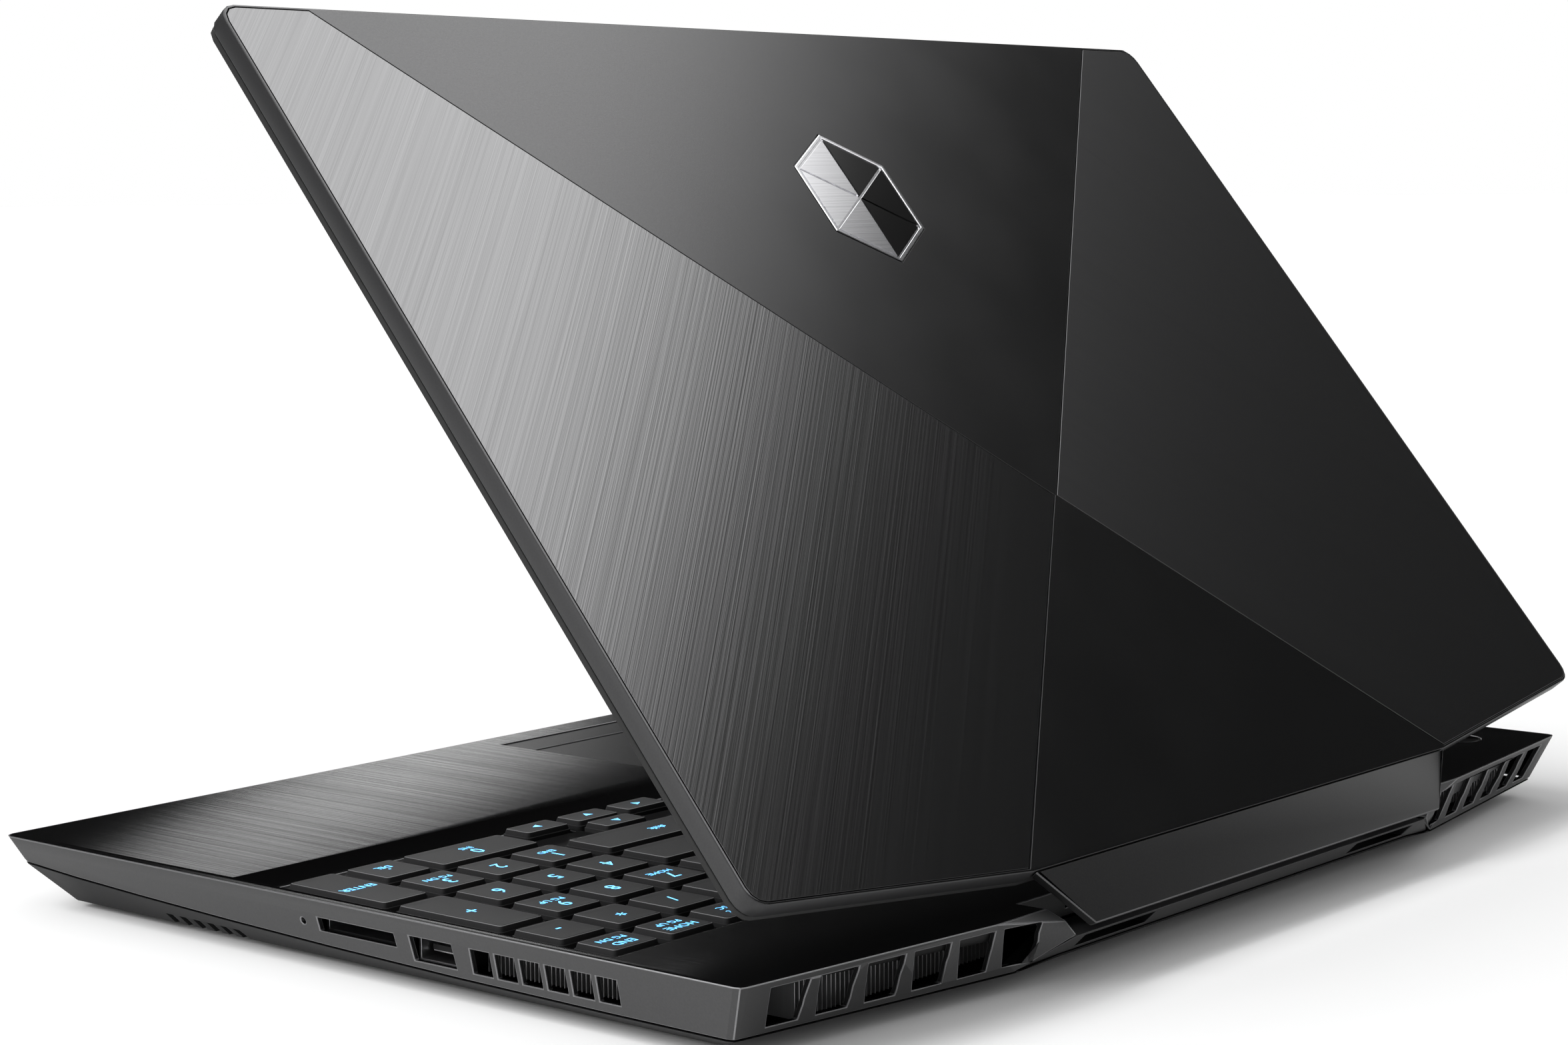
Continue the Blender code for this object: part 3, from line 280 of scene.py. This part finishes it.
def make_materials():
    """Every material, by name."""
    made = {}
    along_y = (0.0, 0.0, math.pi / 2)
    along_x = (0.0, 0.0, 0.0)
    made["deck"] = brushed(
        "deck_brushed", (0.036, 0.036, 0.037), 0.18, along_y, 0.6, 0.5, 0.92, DECK_HAIR, 0.08
    )
    made["lid_side_right"] = brushed(
        "lid_brushed_right",
        (0.15, 0.15, 0.152),
        0.15,
        panel_turn(247.4, 243.5),
        0.2,
        0.4,
        hair=FINE_HAIR,
    )
    made["lid_side_left"] = brushed(
        "lid_brushed_left",
        (0.105, 0.105, 0.107),
        0.24,
        panel_turn(-247.4, 243.5),
        0.6,
        0.3,
        hair=FINE_HAIR,
        spread=0.04,
    )
    made["lid"] = grained("lid_matte", (0.065, 0.065, 0.066), 0.18, 2600.0, 0.1, 0.95)
    made["strip"] = grained("strip_satin", (0.03, 0.03, 0.0305), 0.36, 2200.0, 0.1, 0.9)
    made["band"] = grained("band_matte", (0.042, 0.042, 0.043), 0.5, 1900.0, 0.3, 0.25)
    made["bottom"] = grained("bottom_plastic", (0.01, 0.01, 0.0105), 0.6, 1500.0, 0.5)
    made["rim"] = grained("rim_matte", (0.03, 0.03, 0.031), 0.45, 1900.0, 0.2, 0.4)
    # Lighter greys that rounded edges take: painted highlights along the bevels.
    made["edge"] = grained("edge_highlight_paint", (0.22, 0.22, 0.225), 0.35, 2500.0, 0.1, 0.8)
    made["dim_edge_highlight"] = grained("edge_dim_highlight_paint", (0.1, 0.1, 0.102), 0.35, 2500.0, 0.1, 0.8)
    # Keycap rims take a lighter grey than the key plastic, a painted highlight on their bevel.
    made["key_rim_painted_highlight"] = grained("key_rim_painted_highlight", (0.11, 0.11, 0.112), 0.35, 2500.0, 0.1)
    # Near black for walls inside openings and pockets: painted shade in the recesses.
    made["recess_shade"] = grained("recess_painted_shade", (0.008, 0.008, 0.0085), 0.5, 1500.0, 0.3)
    made["screw"] = brushed("screw_black", (0.12, 0.12, 0.122), 0.35, along_x)
    made["vent"] = grained("vent_plastic", (0.006, 0.006, 0.0065), 0.38, 1500.0, 0.2)
    made["frame"] = brushed("frame_brushed", (0.05, 0.05, 0.051), 0.34, along_y)
    made["key"] = grained("key_plastic", (0.022, 0.022, 0.0225), 0.5, 3500.0, 0.3)
    made["legend"] = glowing("legend_glow", (0.16, 0.57, 1.0), 1.5)
    made["touch"] = grained("touch_surface", (0.06, 0.06, 0.061), 0.3, 4000.0, 0.05, 0.9)
    made["rubber"] = grained("foot_rubber", (0.012, 0.012, 0.012), 0.8, 1800.0, 0.5)
    made["steel"] = brushed("plain_steel", (0.45, 0.45, 0.46), 0.32, along_x)
    made["fin"] = brushed(
        "fin_aluminium", (0.3, 0.3, 0.305), 0.35, (0.0, math.pi / 2, 0.0), 0.1, 0.1, 0.7
    )
    made["copper"] = brushed("pipe_copper", (0.7, 0.33, 0.18), 0.3, along_x)
    made["board"] = grained("board_lacquer", (0.01, 0.045, 0.028), 0.35, 900.0, 0.2)
    made["inner"] = grained("inner_plastic", (0.015, 0.015, 0.0155), 0.55, 1500.0, 0.4)
    made["screen"] = grained("screen_glass", (0.004, 0.004, 0.005), 0.08, 5000.0, 0.01)
    made["bezel"] = grained("bezel_plastic", (0.012, 0.012, 0.0125), 0.5, 2200.0, 0.3)
    made["badge_light"] = brushed("badge_polished", (0.8, 0.8, 0.82), 0.12, along_x)
    made["badge_dark"] = grained("badge_black", (0.004, 0.004, 0.004), 0.1, 3000.0, 0.02)
    made["gold"] = brushed("contact_gold", (0.85, 0.6, 0.25), 0.25, along_x)
    for name, level in (("key", 0.04), ("bottom", 0.2), ("bezel", 0.2), ("inner", 0.2)):
        shader = made[name].node_tree.nodes["Principled BSDF"]
        shader.inputs["Specular IOR Level"].default_value = level
    for name in ("deck", "frame", "touch"):
        shader = made[name].node_tree.nodes["Principled BSDF"]
        shader.inputs["Specular Tint"].default_value = (0.25, 0.25, 0.25, 1.0)
    return made


MATERIALS = make_materials()

# --- Mesh helpers ------------------------------------------------------------------------------


def add(name, form, material, body, replaces=(), on_lid=False, smooth=30.0):
    """A new piece from a bmesh in frame coordinates, riding on a body."""
    if on_lid:
        form.transform(lid_turn())
    mesh = bpy.data.meshes.new(name)
    form.to_mesh(mesh)
    form.free()
    for polygon in mesh.polygons:
        polygon.use_smooth = True
    mesh.set_sharp_from_angle(angle=math.radians(smooth))
    for one in material if isinstance(material, (list, tuple)) else [material]:
        mesh.materials.append(MATERIALS[one])
    piece = bpy.data.objects.new(name, mesh)
    bpy.context.scene.collection.objects.link(piece)
    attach(piece, body)
    if replaces:
        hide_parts(*replaces)
    return piece


def cad_form(name):
    """A CAD node's shape with its flat faces whole again."""
    form = bmesh.new()
    form.from_mesh(frame["nodes"][name].data)
    bmesh.ops.remove_doubles(form, verts=form.verts[:], dist=2e-6)
    bmesh.ops.dissolve_limit(
        form, angle_limit=math.radians(0.5), verts=form.verts[:], edges=form.edges[:]
    )
    for layer in list(form.loops.layers.float_vector.values()):
        form.loops.layers.float_vector.remove(layer)
    return form


def detailed(name, material, width, segments=2, clamp=False, edge=None):
    """A piece with a CAD node's shape and rounded edges, which stands for that node."""
    piece = add(f"{name}_shell", cad_form(name), material, BODY_OF[name], [name])
    if edge:
        piece.data.materials.append(MATERIALS[edge])
    step = piece.modifiers.new("Bevel", "BEVEL")
    step.width = width * MM
    step.segments = segments
    step.limit_method = "ANGLE"
    step.angle_limit = math.radians(ROUNDED_ABOVE)
    step.use_clamp_overlap = clamp
    step.harden_normals = True
    # The rounded faces take the edge material; the lighter edge greys paint a highlight along them.
    if edge:
        step.material = len(piece.data.materials) - 1
    return piece


def loft(form, rings):
    """Faces between rings of points with equal counts, and caps at both ends."""
    made = [[form.verts.new(point) for point in ring] for ring in rings]
    for first, second in zip(made, made[1:]):
        for i in range(len(first)):
            j = (i + 1) % len(first)
            form.faces.new((first[i], first[j], second[j], second[i]))
    form.faces.new(list(reversed(made[0])))
    form.faces.new(made[-1])
    return made


def rounded_ring(low, high, z, radius):
    """A rectangle with round corners, counter-clockwise, in frame coordinates."""
    out = []
    corners = [
        (high.x - radius, high.y - radius, 0.0),
        (low.x + radius, high.y - radius, 90.0),
        (low.x + radius, low.y + radius, 180.0),
        (high.x - radius, low.y + radius, 270.0),
    ]
    for x, y, start in corners:
        for k in range(CORNER_STEPS + 1):
            angle = math.radians(start + 90.0 * k / CORNER_STEPS)
            out.append(Vector((x + radius * math.cos(angle), y + radius * math.sin(angle), z)))
    return out


def box_form(low, high):
    """A box between two frame points."""
    form = bmesh.new()
    bmesh.ops.create_cube(form, size=1.0)
    for vertex in form.verts:
        for i in range(3):
            vertex.co[i] = high[i] if vertex.co[i] > 0 else low[i]
    return form


def join(forms):
    """Several bmeshes as one."""
    whole = bmesh.new()
    for form in forms:
        mesh = bpy.data.meshes.new("joined")
        form.to_mesh(mesh)
        form.free()
        whole.from_mesh(mesh)
        bpy.data.meshes.remove(mesh)
    return whole


# --- Keyboard ----------------------------------------------------------------------------------

LEGENDS = {
    "keys_function_row": [
        "esc", "f1", "f2", "f3", "f4", "f5", "f6", "f7", "f8", "f9", "f10", "f11", "f12",
        "pause", "del", "ins", "scr", "prt|SC", "HOME|PG UP", "END|PG DN",
    ],
    "keys_number_row": [
        "`", "1", "2", "3", "4", "5", "6", "7", "8", "9", "0", "-", "=", "backspace",
        "num|lk", "/", "*", "-",
    ],
    "keys_upper_letter_row": ["tab", *"QWERTYUIOP[]", "\\"],
    "keys_home_row": ["caps lock", *"ASDFGHJKL;'", "enter"],
    "keys_lower_letter_row": ["shift", *"ZXCVBNM,./", "shift"],
    "keys_modifier_row": ["ctrl", "fn", "<>", "alt", "alt", "ctrl"],
    "keys_numpad_123": ["1|END", "2", "3|PG DN"],
    "keys_numpad_456": ["4", "5", "6"],
    "keys_numpad_789": ["7|HOME", "8", "9|PG UP"],
    "keys_numpad_zero_point": ["0|INS", ".|DEL"],
    "key_numpad_enter": ["ENTER"],
    "key_numpad_plus": ["+"],
    "space_bar": [""],
    "key_arrow_left": ["<"],
    "key_arrow_right": [">"],
    "key_arrow_up": ["^"],
    "key_arrow_down": ["v"],
}
ARROWS = {"<": 90.0, ">": -90.0, "^": 0.0, "v": 180.0}


def key_tops(name):
    """The low and high corner of each key top of a CAD node, from left to right."""
    form = cad_form(name)
    top = max(vertex.co.z for vertex in form.verts)
    tops = []
    for face in form.faces:
        if face.normal.z > 0.99 and abs(face.calc_center_median().z - top) < 0.02 * MM:
            xs = [vertex.co.x for vertex in face.verts]
            ys = [vertex.co.y for vertex in face.verts]
            tops.append((Vector((min(xs), min(ys), top)), Vector((max(xs), max(ys), top))))
    form.free()
    return sorted(tops, key=lambda pair: pair[0].x)


def keycap(low, high):
    """One keycap: flared skirt, bevelled rim and a slightly dished top."""
    growth, height, radius = KEYCAP_FOOT
    levels = [(growth, DECK_HIGH.z + height * MM, radius)]
    levels += [(growth, low.z - depth * MM, radius) for growth, depth, radius in KEYCAP_RINGS]
    form = bmesh.new()
    rings = []
    for growth, z, radius in levels:
        shift = Vector((growth * MM, growth * MM, 0.0))
        rings.append(rounded_ring(low - shift, high + shift, z, radius * MM))
    made = loft(form, rings)
    # The rim's faces take the second material, a lighter grey that paints a highlight.
    edge = {vertex for i in KEYCAP_RIM for vertex in made[i]}
    for face in form.faces:
        if all(vertex in edge for vertex in face.verts):
            face.material_index = 1
    return form


def text_form(words, size):
    """Words as a thin solid about the origin, readable from +Z with +Y up."""
    curve = bpy.data.curves.new("legend", "FONT")
    curve.body = words
    curve.size = size * MM
    curve.align_x = "CENTER"
    curve.align_y = "CENTER"
    curve.extrude = 0.012 * MM
    curve.resolution_u = 2
    drawn = bpy.data.objects.new("legend", curve)
    bpy.context.scene.collection.objects.link(drawn)
    graph = bpy.context.evaluated_depsgraph_get()
    mesh = bpy.data.meshes.new_from_object(drawn.evaluated_get(graph))
    form = bmesh.new()
    form.from_mesh(mesh)
    bpy.data.objects.remove(drawn)
    bpy.data.meshes.remove(mesh)
    bpy.data.curves.remove(curve)
    return form


def arrow_form(turn):
    """A small solid triangle."""
    form = bmesh.new()
    bmesh.ops.create_cone(
        form, cap_ends=True, segments=3, radius1=1.5 * MM, radius2=1.5 * MM, depth=0.024 * MM
    )
    form.transform(Matrix.Rotation(math.radians(turn), 4, "Z"))
    return form


def legend_forms(words, low, high):
    """The legend of one key, with a small second line in front of the first."""
    centre = (low + high) / 2
    if words in ARROWS:
        form = arrow_form(ARROWS[words])
        form.transform(Matrix.Translation(centre))
        return [form]
    if not words:
        return []
    lines = words.split("|")
    wide = len(lines[0]) > 1
    sizes = [WORD_SIZE if wide else SIGN_SIZE] + [SECOND_SIZE] * (len(lines) - 1)
    made = []
    step = LINE_STEP * MM
    start = step * (len(lines) - 1) / 2
    for i, line in enumerate(lines):
        form = text_form(line, sizes[i])
        form.transform(Matrix.Translation(centre + Vector((0.0, start - i * step, 0.0))))
        made.append(form)
    return made


def make_keys():
    """Detailed keycaps with their legends for every key node."""
    for name, words in LEGENDS.items():
        tops = key_tops(name)
        caps = join([keycap(low, high) for low, high in tops])
        bmesh.ops.recalc_face_normals(caps, faces=caps.faces[:])
        add(f"{name}_caps", caps, ("key", "key_rim_painted_highlight"), BODY_OF[name], [name])
        lit = []
        for (low, high), word in zip(tops, words):
            lit += legend_forms(word, low, high)
        if lit:
            add(f"{name}_legends", join(lit), "legend", BODY_OF[name])


# --- Base --------------------------------------------------------------------------------------


def place_of(point):
    """The design place in millimetres of a point of the frame."""
    return (point - at(0.0, 0.0, 0.0)) / MM


def paint_band(piece):
    """Matte paint on the case's slanted outer walls; near-black painted shade on the walls inside its openings."""
    for polygon in piece.data.polygons:
        normal = polygon.normal
        if abs(normal.z) > 0.93:
            continue
        x, y, z = place_of(polygon.center)
        side = abs(x) > WALL_SIDE_X and normal.x * x > 0.55 * abs(x)
        rear = y > WALL_REAR_Y and normal.y > 0.4
        front = y < WALL_FRONT_Y and normal.y < -0.4
        # Outer walls take the band paint; all other walls take the painted shade.
        polygon.material_index = 1 if side or rear or front else 2


def make_base():
    """Cases, plates and the small parts of the base."""
    case = detailed("top_case", ("deck", "band", "recess_shade"), 0.28, edge="edge")
    paint_band(case)
    detailed("bottom_cover", "bottom", 0.2, clamp=True)
    detailed("rear_vent_block", "vent", 0.25, edge="dim_edge_highlight")
    detailed("keyboard_frame", "frame", 0.12, 1)
    detailed("touchpad", "touch", 0.15)
    detailed("touchpad_button_left", "touch", 0.2, edge="dim_edge_highlight")
    detailed("touchpad_button_right", "touch", 0.2, edge="dim_edge_highlight")
    detailed("power_button", "frame", 0.2, edge="edge")
    for name in ("usb_port_right", "usb_port_left", "hdmi_port", "card_reader"):
        detailed(name, "steel", 0.1)
    for name in ("ethernet_port", "power_inlet", "audio_jack"):
        detailed(name, "inner", 0.1)
    for name in ("front_foot", "rear_foot"):
        detailed(name, "rubber", 0.5)


def make_tongues():
    """The plastic tongues and gold contacts inside the sockets."""
    for name, side in (("usb_port_right", 1), ("usb_port_left", -1), ("hdmi_port", -1)):
        low, high = (place_of(corner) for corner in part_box(name))
        middle, level = (low.y + high.y) / 2, (low.z + high.z) / 2
        half = (high.y - low.y) / 2 - 2.0
        mouth = side * (min(abs(low.x), abs(high.x)) + (high.x - low.x) * 0.86)
        root = side * (min(abs(low.x), abs(high.x)) + 0.6)
        near, far = sorted((mouth, root))
        tongue = box_form(at(near, middle - half, level - 0.5), at(far, middle + half, level + 0.7))
        add(f"{name}_tongue", tongue, "inner", "base")
        strips = []
        for i in range(CONTACTS):
            y = middle - half + (2 * half) * (i + 0.5) / CONTACTS
            low = at(near + 0.4, y - 0.35, level - 0.6)
            high = at(far - 0.4, y + 0.35, level - 0.5)
            strips.append(box_form(low, high))
        add(f"{name}_contacts", join(strips), "gold", "base")


def make_screws():
    """Screw heads with cross recesses, sunk in the underside."""
    heads = []
    for x, y in SCREWS:
        form = bmesh.new()
        rings = []
        for radius, z in SCREW_RINGS:
            ring = []
            for i in range(SCREW_SIDES):
                angle = 2 * math.pi * i / SCREW_SIDES
                reach = radius * (CROSS_WAIST if radius < 1.0 and i % 6 in (2, 3, 4) else 1.0)
                ring.append(at(x + reach * math.cos(angle), y + reach * math.sin(angle), z))
            rings.append(ring)
        loft(form, rings)
        bmesh.ops.recalc_face_normals(form, faces=form.faces[:])
        heads.append(form)
    add("cover_screws", join(heads), "screw", "base")


def make_fins():
    """Fin stacks behind the vents, in place of the plain blocks."""
    for side, name in ((-1, "left"), (1, "right")):
        forms = []
        near, far = sorted(side * x for x in SIDE_FIN_X)
        for i in range(SIDE_FINS):
            y = SIDE_FIRST_Y + SIDE_PITCH * i
            low, high = at(near, y, SIDE_FIN_Z[0]), at(far, y + FIN_THICKNESS, SIDE_FIN_Z[1])
            forms.append(box_form(low, high))
        for i in range(REAR_FINS):
            x = side * (REAR_FIRST_X + REAR_PITCH * i)
            near, far = sorted((x, x + side * FIN_THICKNESS))
            low, high = at(near, REAR_FIN_Y[0], REAR_FIN_Z[0]), at(far, REAR_FIN_Y[1], REAR_FIN_Z[1])
            forms.append(box_form(low, high))
        add(
            f"fin_stack_{name}", join(forms), "fin", "base",
            [f"heatsink_{name}"],
        )


# --- Lid ---------------------------------------------------------------------------------------


def make_badge():
    """A hexagon in a thin polished frame, half bright and half black facets."""
    turn_back = lid_turn().inverted()
    points = [turn_back @ vertex.co for vertex in frame["nodes"]["lid_badge"].data.vertices]
    top = max(point.z for point in points)
    low = min(point.z for point in points)
    centre = sum(points, Vector()) / len(points)
    reach = max((point - centre).xy.length for point in points)
    corners = []
    for point in points:
        arm = (point - centre).xy
        if arm.length > reach - 0.3 * MM and point.z > top - 0.3 * MM:
            angle = math.atan2(arm.y, arm.x)
            if all(abs(math.remainder(angle - other, 2 * math.pi)) > 0.3 for other in corners):
                corners.append(angle)
    corners.sort()

    def outline(radius, z):
        return [
            Vector((centre.x + radius * math.cos(a), centre.y + radius * math.sin(a), z))
            for a in corners
        ]

    rim = bmesh.new()
    levels = (
        (reach, low), (reach, top - 0.15 * MM), (reach - 0.2 * MM, top), (reach - 0.9 * MM, top),
        (reach - 1.05 * MM, top - 0.2 * MM), (reach - 1.05 * MM, low + 0.1 * MM),
    )
    loft(rim, [outline(radius, z) for radius, z in levels])
    add(
        "badge_frame", rim, "badge_light", "lid", ["lid_badge"], True, 20.0
    )
    halves = {"badge_light": [], "badge_dark": []}
    inner = outline(reach - 1.3 * MM, top - 0.15 * MM)
    hub = Vector((centre.x, centre.y, top - 0.02 * MM))
    for i, here in enumerate(inner):
        ahead = inner[(i + 1) % len(inner)]
        middle = (here + ahead + hub) / 3
        form = bmesh.new()
        above = [middle + (point - middle) * 0.94 for point in (hub, here, ahead)]
        below = [Vector((point.x, point.y, low + 0.15 * MM)) for point in above]
        loft(form, [below, above])
        halves["badge_light" if middle.x > centre.x else "badge_dark"].append(form)
    for kind, forms in halves.items():
        add(f"{kind}_facets", join(forms), kind, "lid", (), True, 20.0)


def make_lid():
    """Lid shells, strip, bezel, seal and badge; the cover's pocket walls get near-black painted shade."""
    cover = detailed("lid_cover", ("lid", "rim", "recess_shade"), 0.1, edge="rim")
    turn_back = lid_turn().inverted()
    flat = [turn_back @ vertex.co for vertex in cover.data.vertices]
    low = [min(point[k] for point in flat) + COVER_EDGE for k in (0, 1)]
    high = [max(point[k] for point in flat) - COVER_EDGE for k in (0, 1)]
    # Walls inside the cover's outline take the painted shade.
    for polygon in cover.data.polygons:
        middle = turn_back @ polygon.center
        inside = all(low[k] < middle[k] < high[k] for k in (0, 1))
        if (turn_back.to_3x3() @ polygon.normal).z > 0.9:
            polygon.material_index = 0
        else:
            polygon.material_index = 2 if inside else 1
    detailed("lid_panel_right", "lid_side_right", 0.05)
    detailed("lid_panel_left", "lid_side_left", 0.14, edge="dim_edge_highlight")
    detailed("hinge_strip", "strip", 0.2, edge="dim_edge_highlight")
    detailed("screen_bezel", "bezel", 0.3)
    detailed("screen_seal", "rubber", 0.3)
    make_badge()


def carry_over():
    """Materials of the CAD nodes that stay as they are."""
    kinds = {
        "keyboard_backplate": "steel", "fan_housing_left": "inner", "fan_housing_right": "inner",
        "fan_rotor_left": "vent", "fan_rotor_right": "vent", "heat_pipes": "copper",
        "motherboard": "board", "storage_drive": "board", "battery": "inner",
        "speaker_left": "inner", "speaker_right": "inner", "hinge_bracket_left": "steel",
        "hinge_bracket_right": "steel", "hinge_arm_left": "steel", "hinge_arm_right": "steel",
        "display_panel": "screen", "camera_module": "screen",
    }
    for name, kind in kinds.items():
        slots = frame["nodes"][name].material_slots
        for one in slots:
            one.material = MATERIALS[kind]


# --- Studio ------------------------------------------------------------------------------------


def make_camera():
    """The camera at the photograph's viewing angle, behind the laptop's right rear corner."""
    azimuth = math.radians(CAMERA_AZIMUTH)
    elevation = math.radians(CAMERA_ELEVATION)
    roll = math.radians(CAMERA_ROLL)
    flat = math.cos(elevation)
    forward = -Vector((math.sin(azimuth) * flat, -math.cos(azimuth) * flat, math.sin(elevation)))
    level = forward.cross(Vector((0.0, 0.0, 1.0))).normalized()
    upright = level.cross(forward)
    right = level * math.cos(roll) + upright * math.sin(roll)
    up = upright * math.cos(roll) - level * math.sin(roll)
    turn = Matrix((right, up, -forward)).transposed()
    data = bpy.data.cameras.new("camera")
    data.sensor_width = CAMERA_SENSOR
    data.lens = CAMERA_LENS
    data.shift_x, data.shift_y = CAMERA_SHIFT
    data.clip_start = 0.01
    camera = bpy.data.objects.new("camera", data)
    camera.matrix_world = Matrix.Translation(at(*CAMERA_PLACE)) @ turn.to_4x4()
    bpy.context.scene.collection.objects.link(camera)
    bpy.context.scene.camera = camera


def make_floor():
    """Plain pale floor."""
    floor = bmesh.new()
    bmesh.ops.create_circle(floor, cap_ends=True, segments=96, radius=FLOOR_RADIUS)
    mesh = bpy.data.meshes.new("floor")
    floor.to_mesh(mesh)
    floor.free()
    stage = bpy.data.objects.new("floor", mesh)
    paint, _, shader = new_material("floor_pale", (0.97, 0.97, 0.97), 0.9)
    shader.inputs["Specular IOR Level"].default_value = 0.1
    mesh.materials.append(paint)
    bpy.context.scene.collection.objects.link(stage)


def glow_towards(tree, direction, azimuth, elevation, low, high, strength):
    """A soft glow of the surround round one direction; low and high are its edge in degrees."""
    flat = math.cos(math.radians(elevation))
    aim = (
        flat * math.cos(math.radians(azimuth)),
        flat * math.sin(math.radians(azimuth)),
        math.sin(math.radians(elevation)),
    )
    dot = node(tree, "ShaderNodeVectorMath", operation="DOT_PRODUCT")
    dot.inputs[1].default_value = aim
    tree.links.new(direction, dot.inputs[0])
    edge = node(tree, "ShaderNodeMapRange", interpolation_type="SMOOTHERSTEP")
    edge.inputs["From Min"].default_value = math.cos(math.radians(high))
    edge.inputs["From Max"].default_value = math.cos(math.radians(low))
    edge.inputs["To Max"].default_value = strength
    tree.links.new(dot.outputs["Value"], edge.inputs["Value"])
    return edge.outputs["Result"]


def make_surround():
    """White surround that gloss sees as dark, with an overhead and a front glow."""
    world = bpy.data.worlds.new("surround")
    bpy.context.scene.world = world
    world.use_nodes = True
    world.cycles.sampling_method = "NONE"
    tree = world.node_tree
    background = tree.nodes["Background"]
    background.inputs["Color"].default_value = (1.0, 1.0, 1.0, 1.0)
    direction = node(tree, "ShaderNodeTexCoord").outputs["Generated"]
    path = node(tree, "ShaderNodeLightPath")
    total = node(tree, "ShaderNodeValue")
    total.outputs[0].default_value = SURROUND_GLOSS
    for glow in SURROUND_GLOWS:
        step = node(tree, "ShaderNodeMath", operation="ADD")
        tree.links.new(total.outputs[0], step.inputs[0])
        tree.links.new(glow_towards(tree, direction, *glow), step.inputs[1])
        total = step
    diffuse = node(tree, "ShaderNodeMapRange")
    diffuse.inputs["To Min"].default_value = 1.0
    diffuse.inputs["To Max"].default_value = SURROUND_DIFFUSE
    tree.links.new(path.outputs["Is Diffuse Ray"], diffuse.inputs["Value"])
    level = node(tree, "ShaderNodeMix", data_type="FLOAT")
    tree.links.new(path.outputs["Is Glossy Ray"], level.inputs[0])
    tree.links.new(diffuse.outputs["Result"], level.inputs[2])
    tree.links.new(total.outputs[0], level.inputs[3])
    tree.links.new(level.outputs[0], background.inputs["Strength"])


def make_sun():
    """A wide, distant softbox from the front right."""
    data = bpy.data.lights.new("wide_softbox", "SUN")
    data.energy = SUN_POWER
    data.angle = math.radians(SUN_WIDTH)
    lamp = bpy.data.objects.new("wide_softbox", data)
    lamp.matrix_world = Vector(SUN_FROM).to_track_quat("Z", "Y").to_matrix().to_4x4()
    lamp.visible_glossy = False
    bpy.context.scene.collection.objects.link(lamp)


def make_side_light():
    """A low softbox beside the right rear corner."""
    data = bpy.data.lights.new("side_softbox", "AREA")
    data.shape = "RECTANGLE"
    data.size, data.size_y = SIDE_SIZE
    data.energy = SIDE_POWER
    place, target = at(*SIDE_PLACE), at(*SIDE_TARGET)
    lamp = bpy.data.objects.new("side_softbox", data)
    turn = (target - place).to_track_quat("-Z", "Z").to_matrix().to_4x4()
    lamp.matrix_world = Matrix.Translation(place) @ turn
    lamp.visible_camera = False
    bpy.context.scene.collection.objects.link(lamp)


make_keys()
make_base()
make_tongues()
make_screws()
make_fins()
make_lid()
carry_over()
make_camera()
make_floor()
make_surround()
make_sun()
make_side_light()
bpy.context.scene.view_settings.view_transform = "Standard"
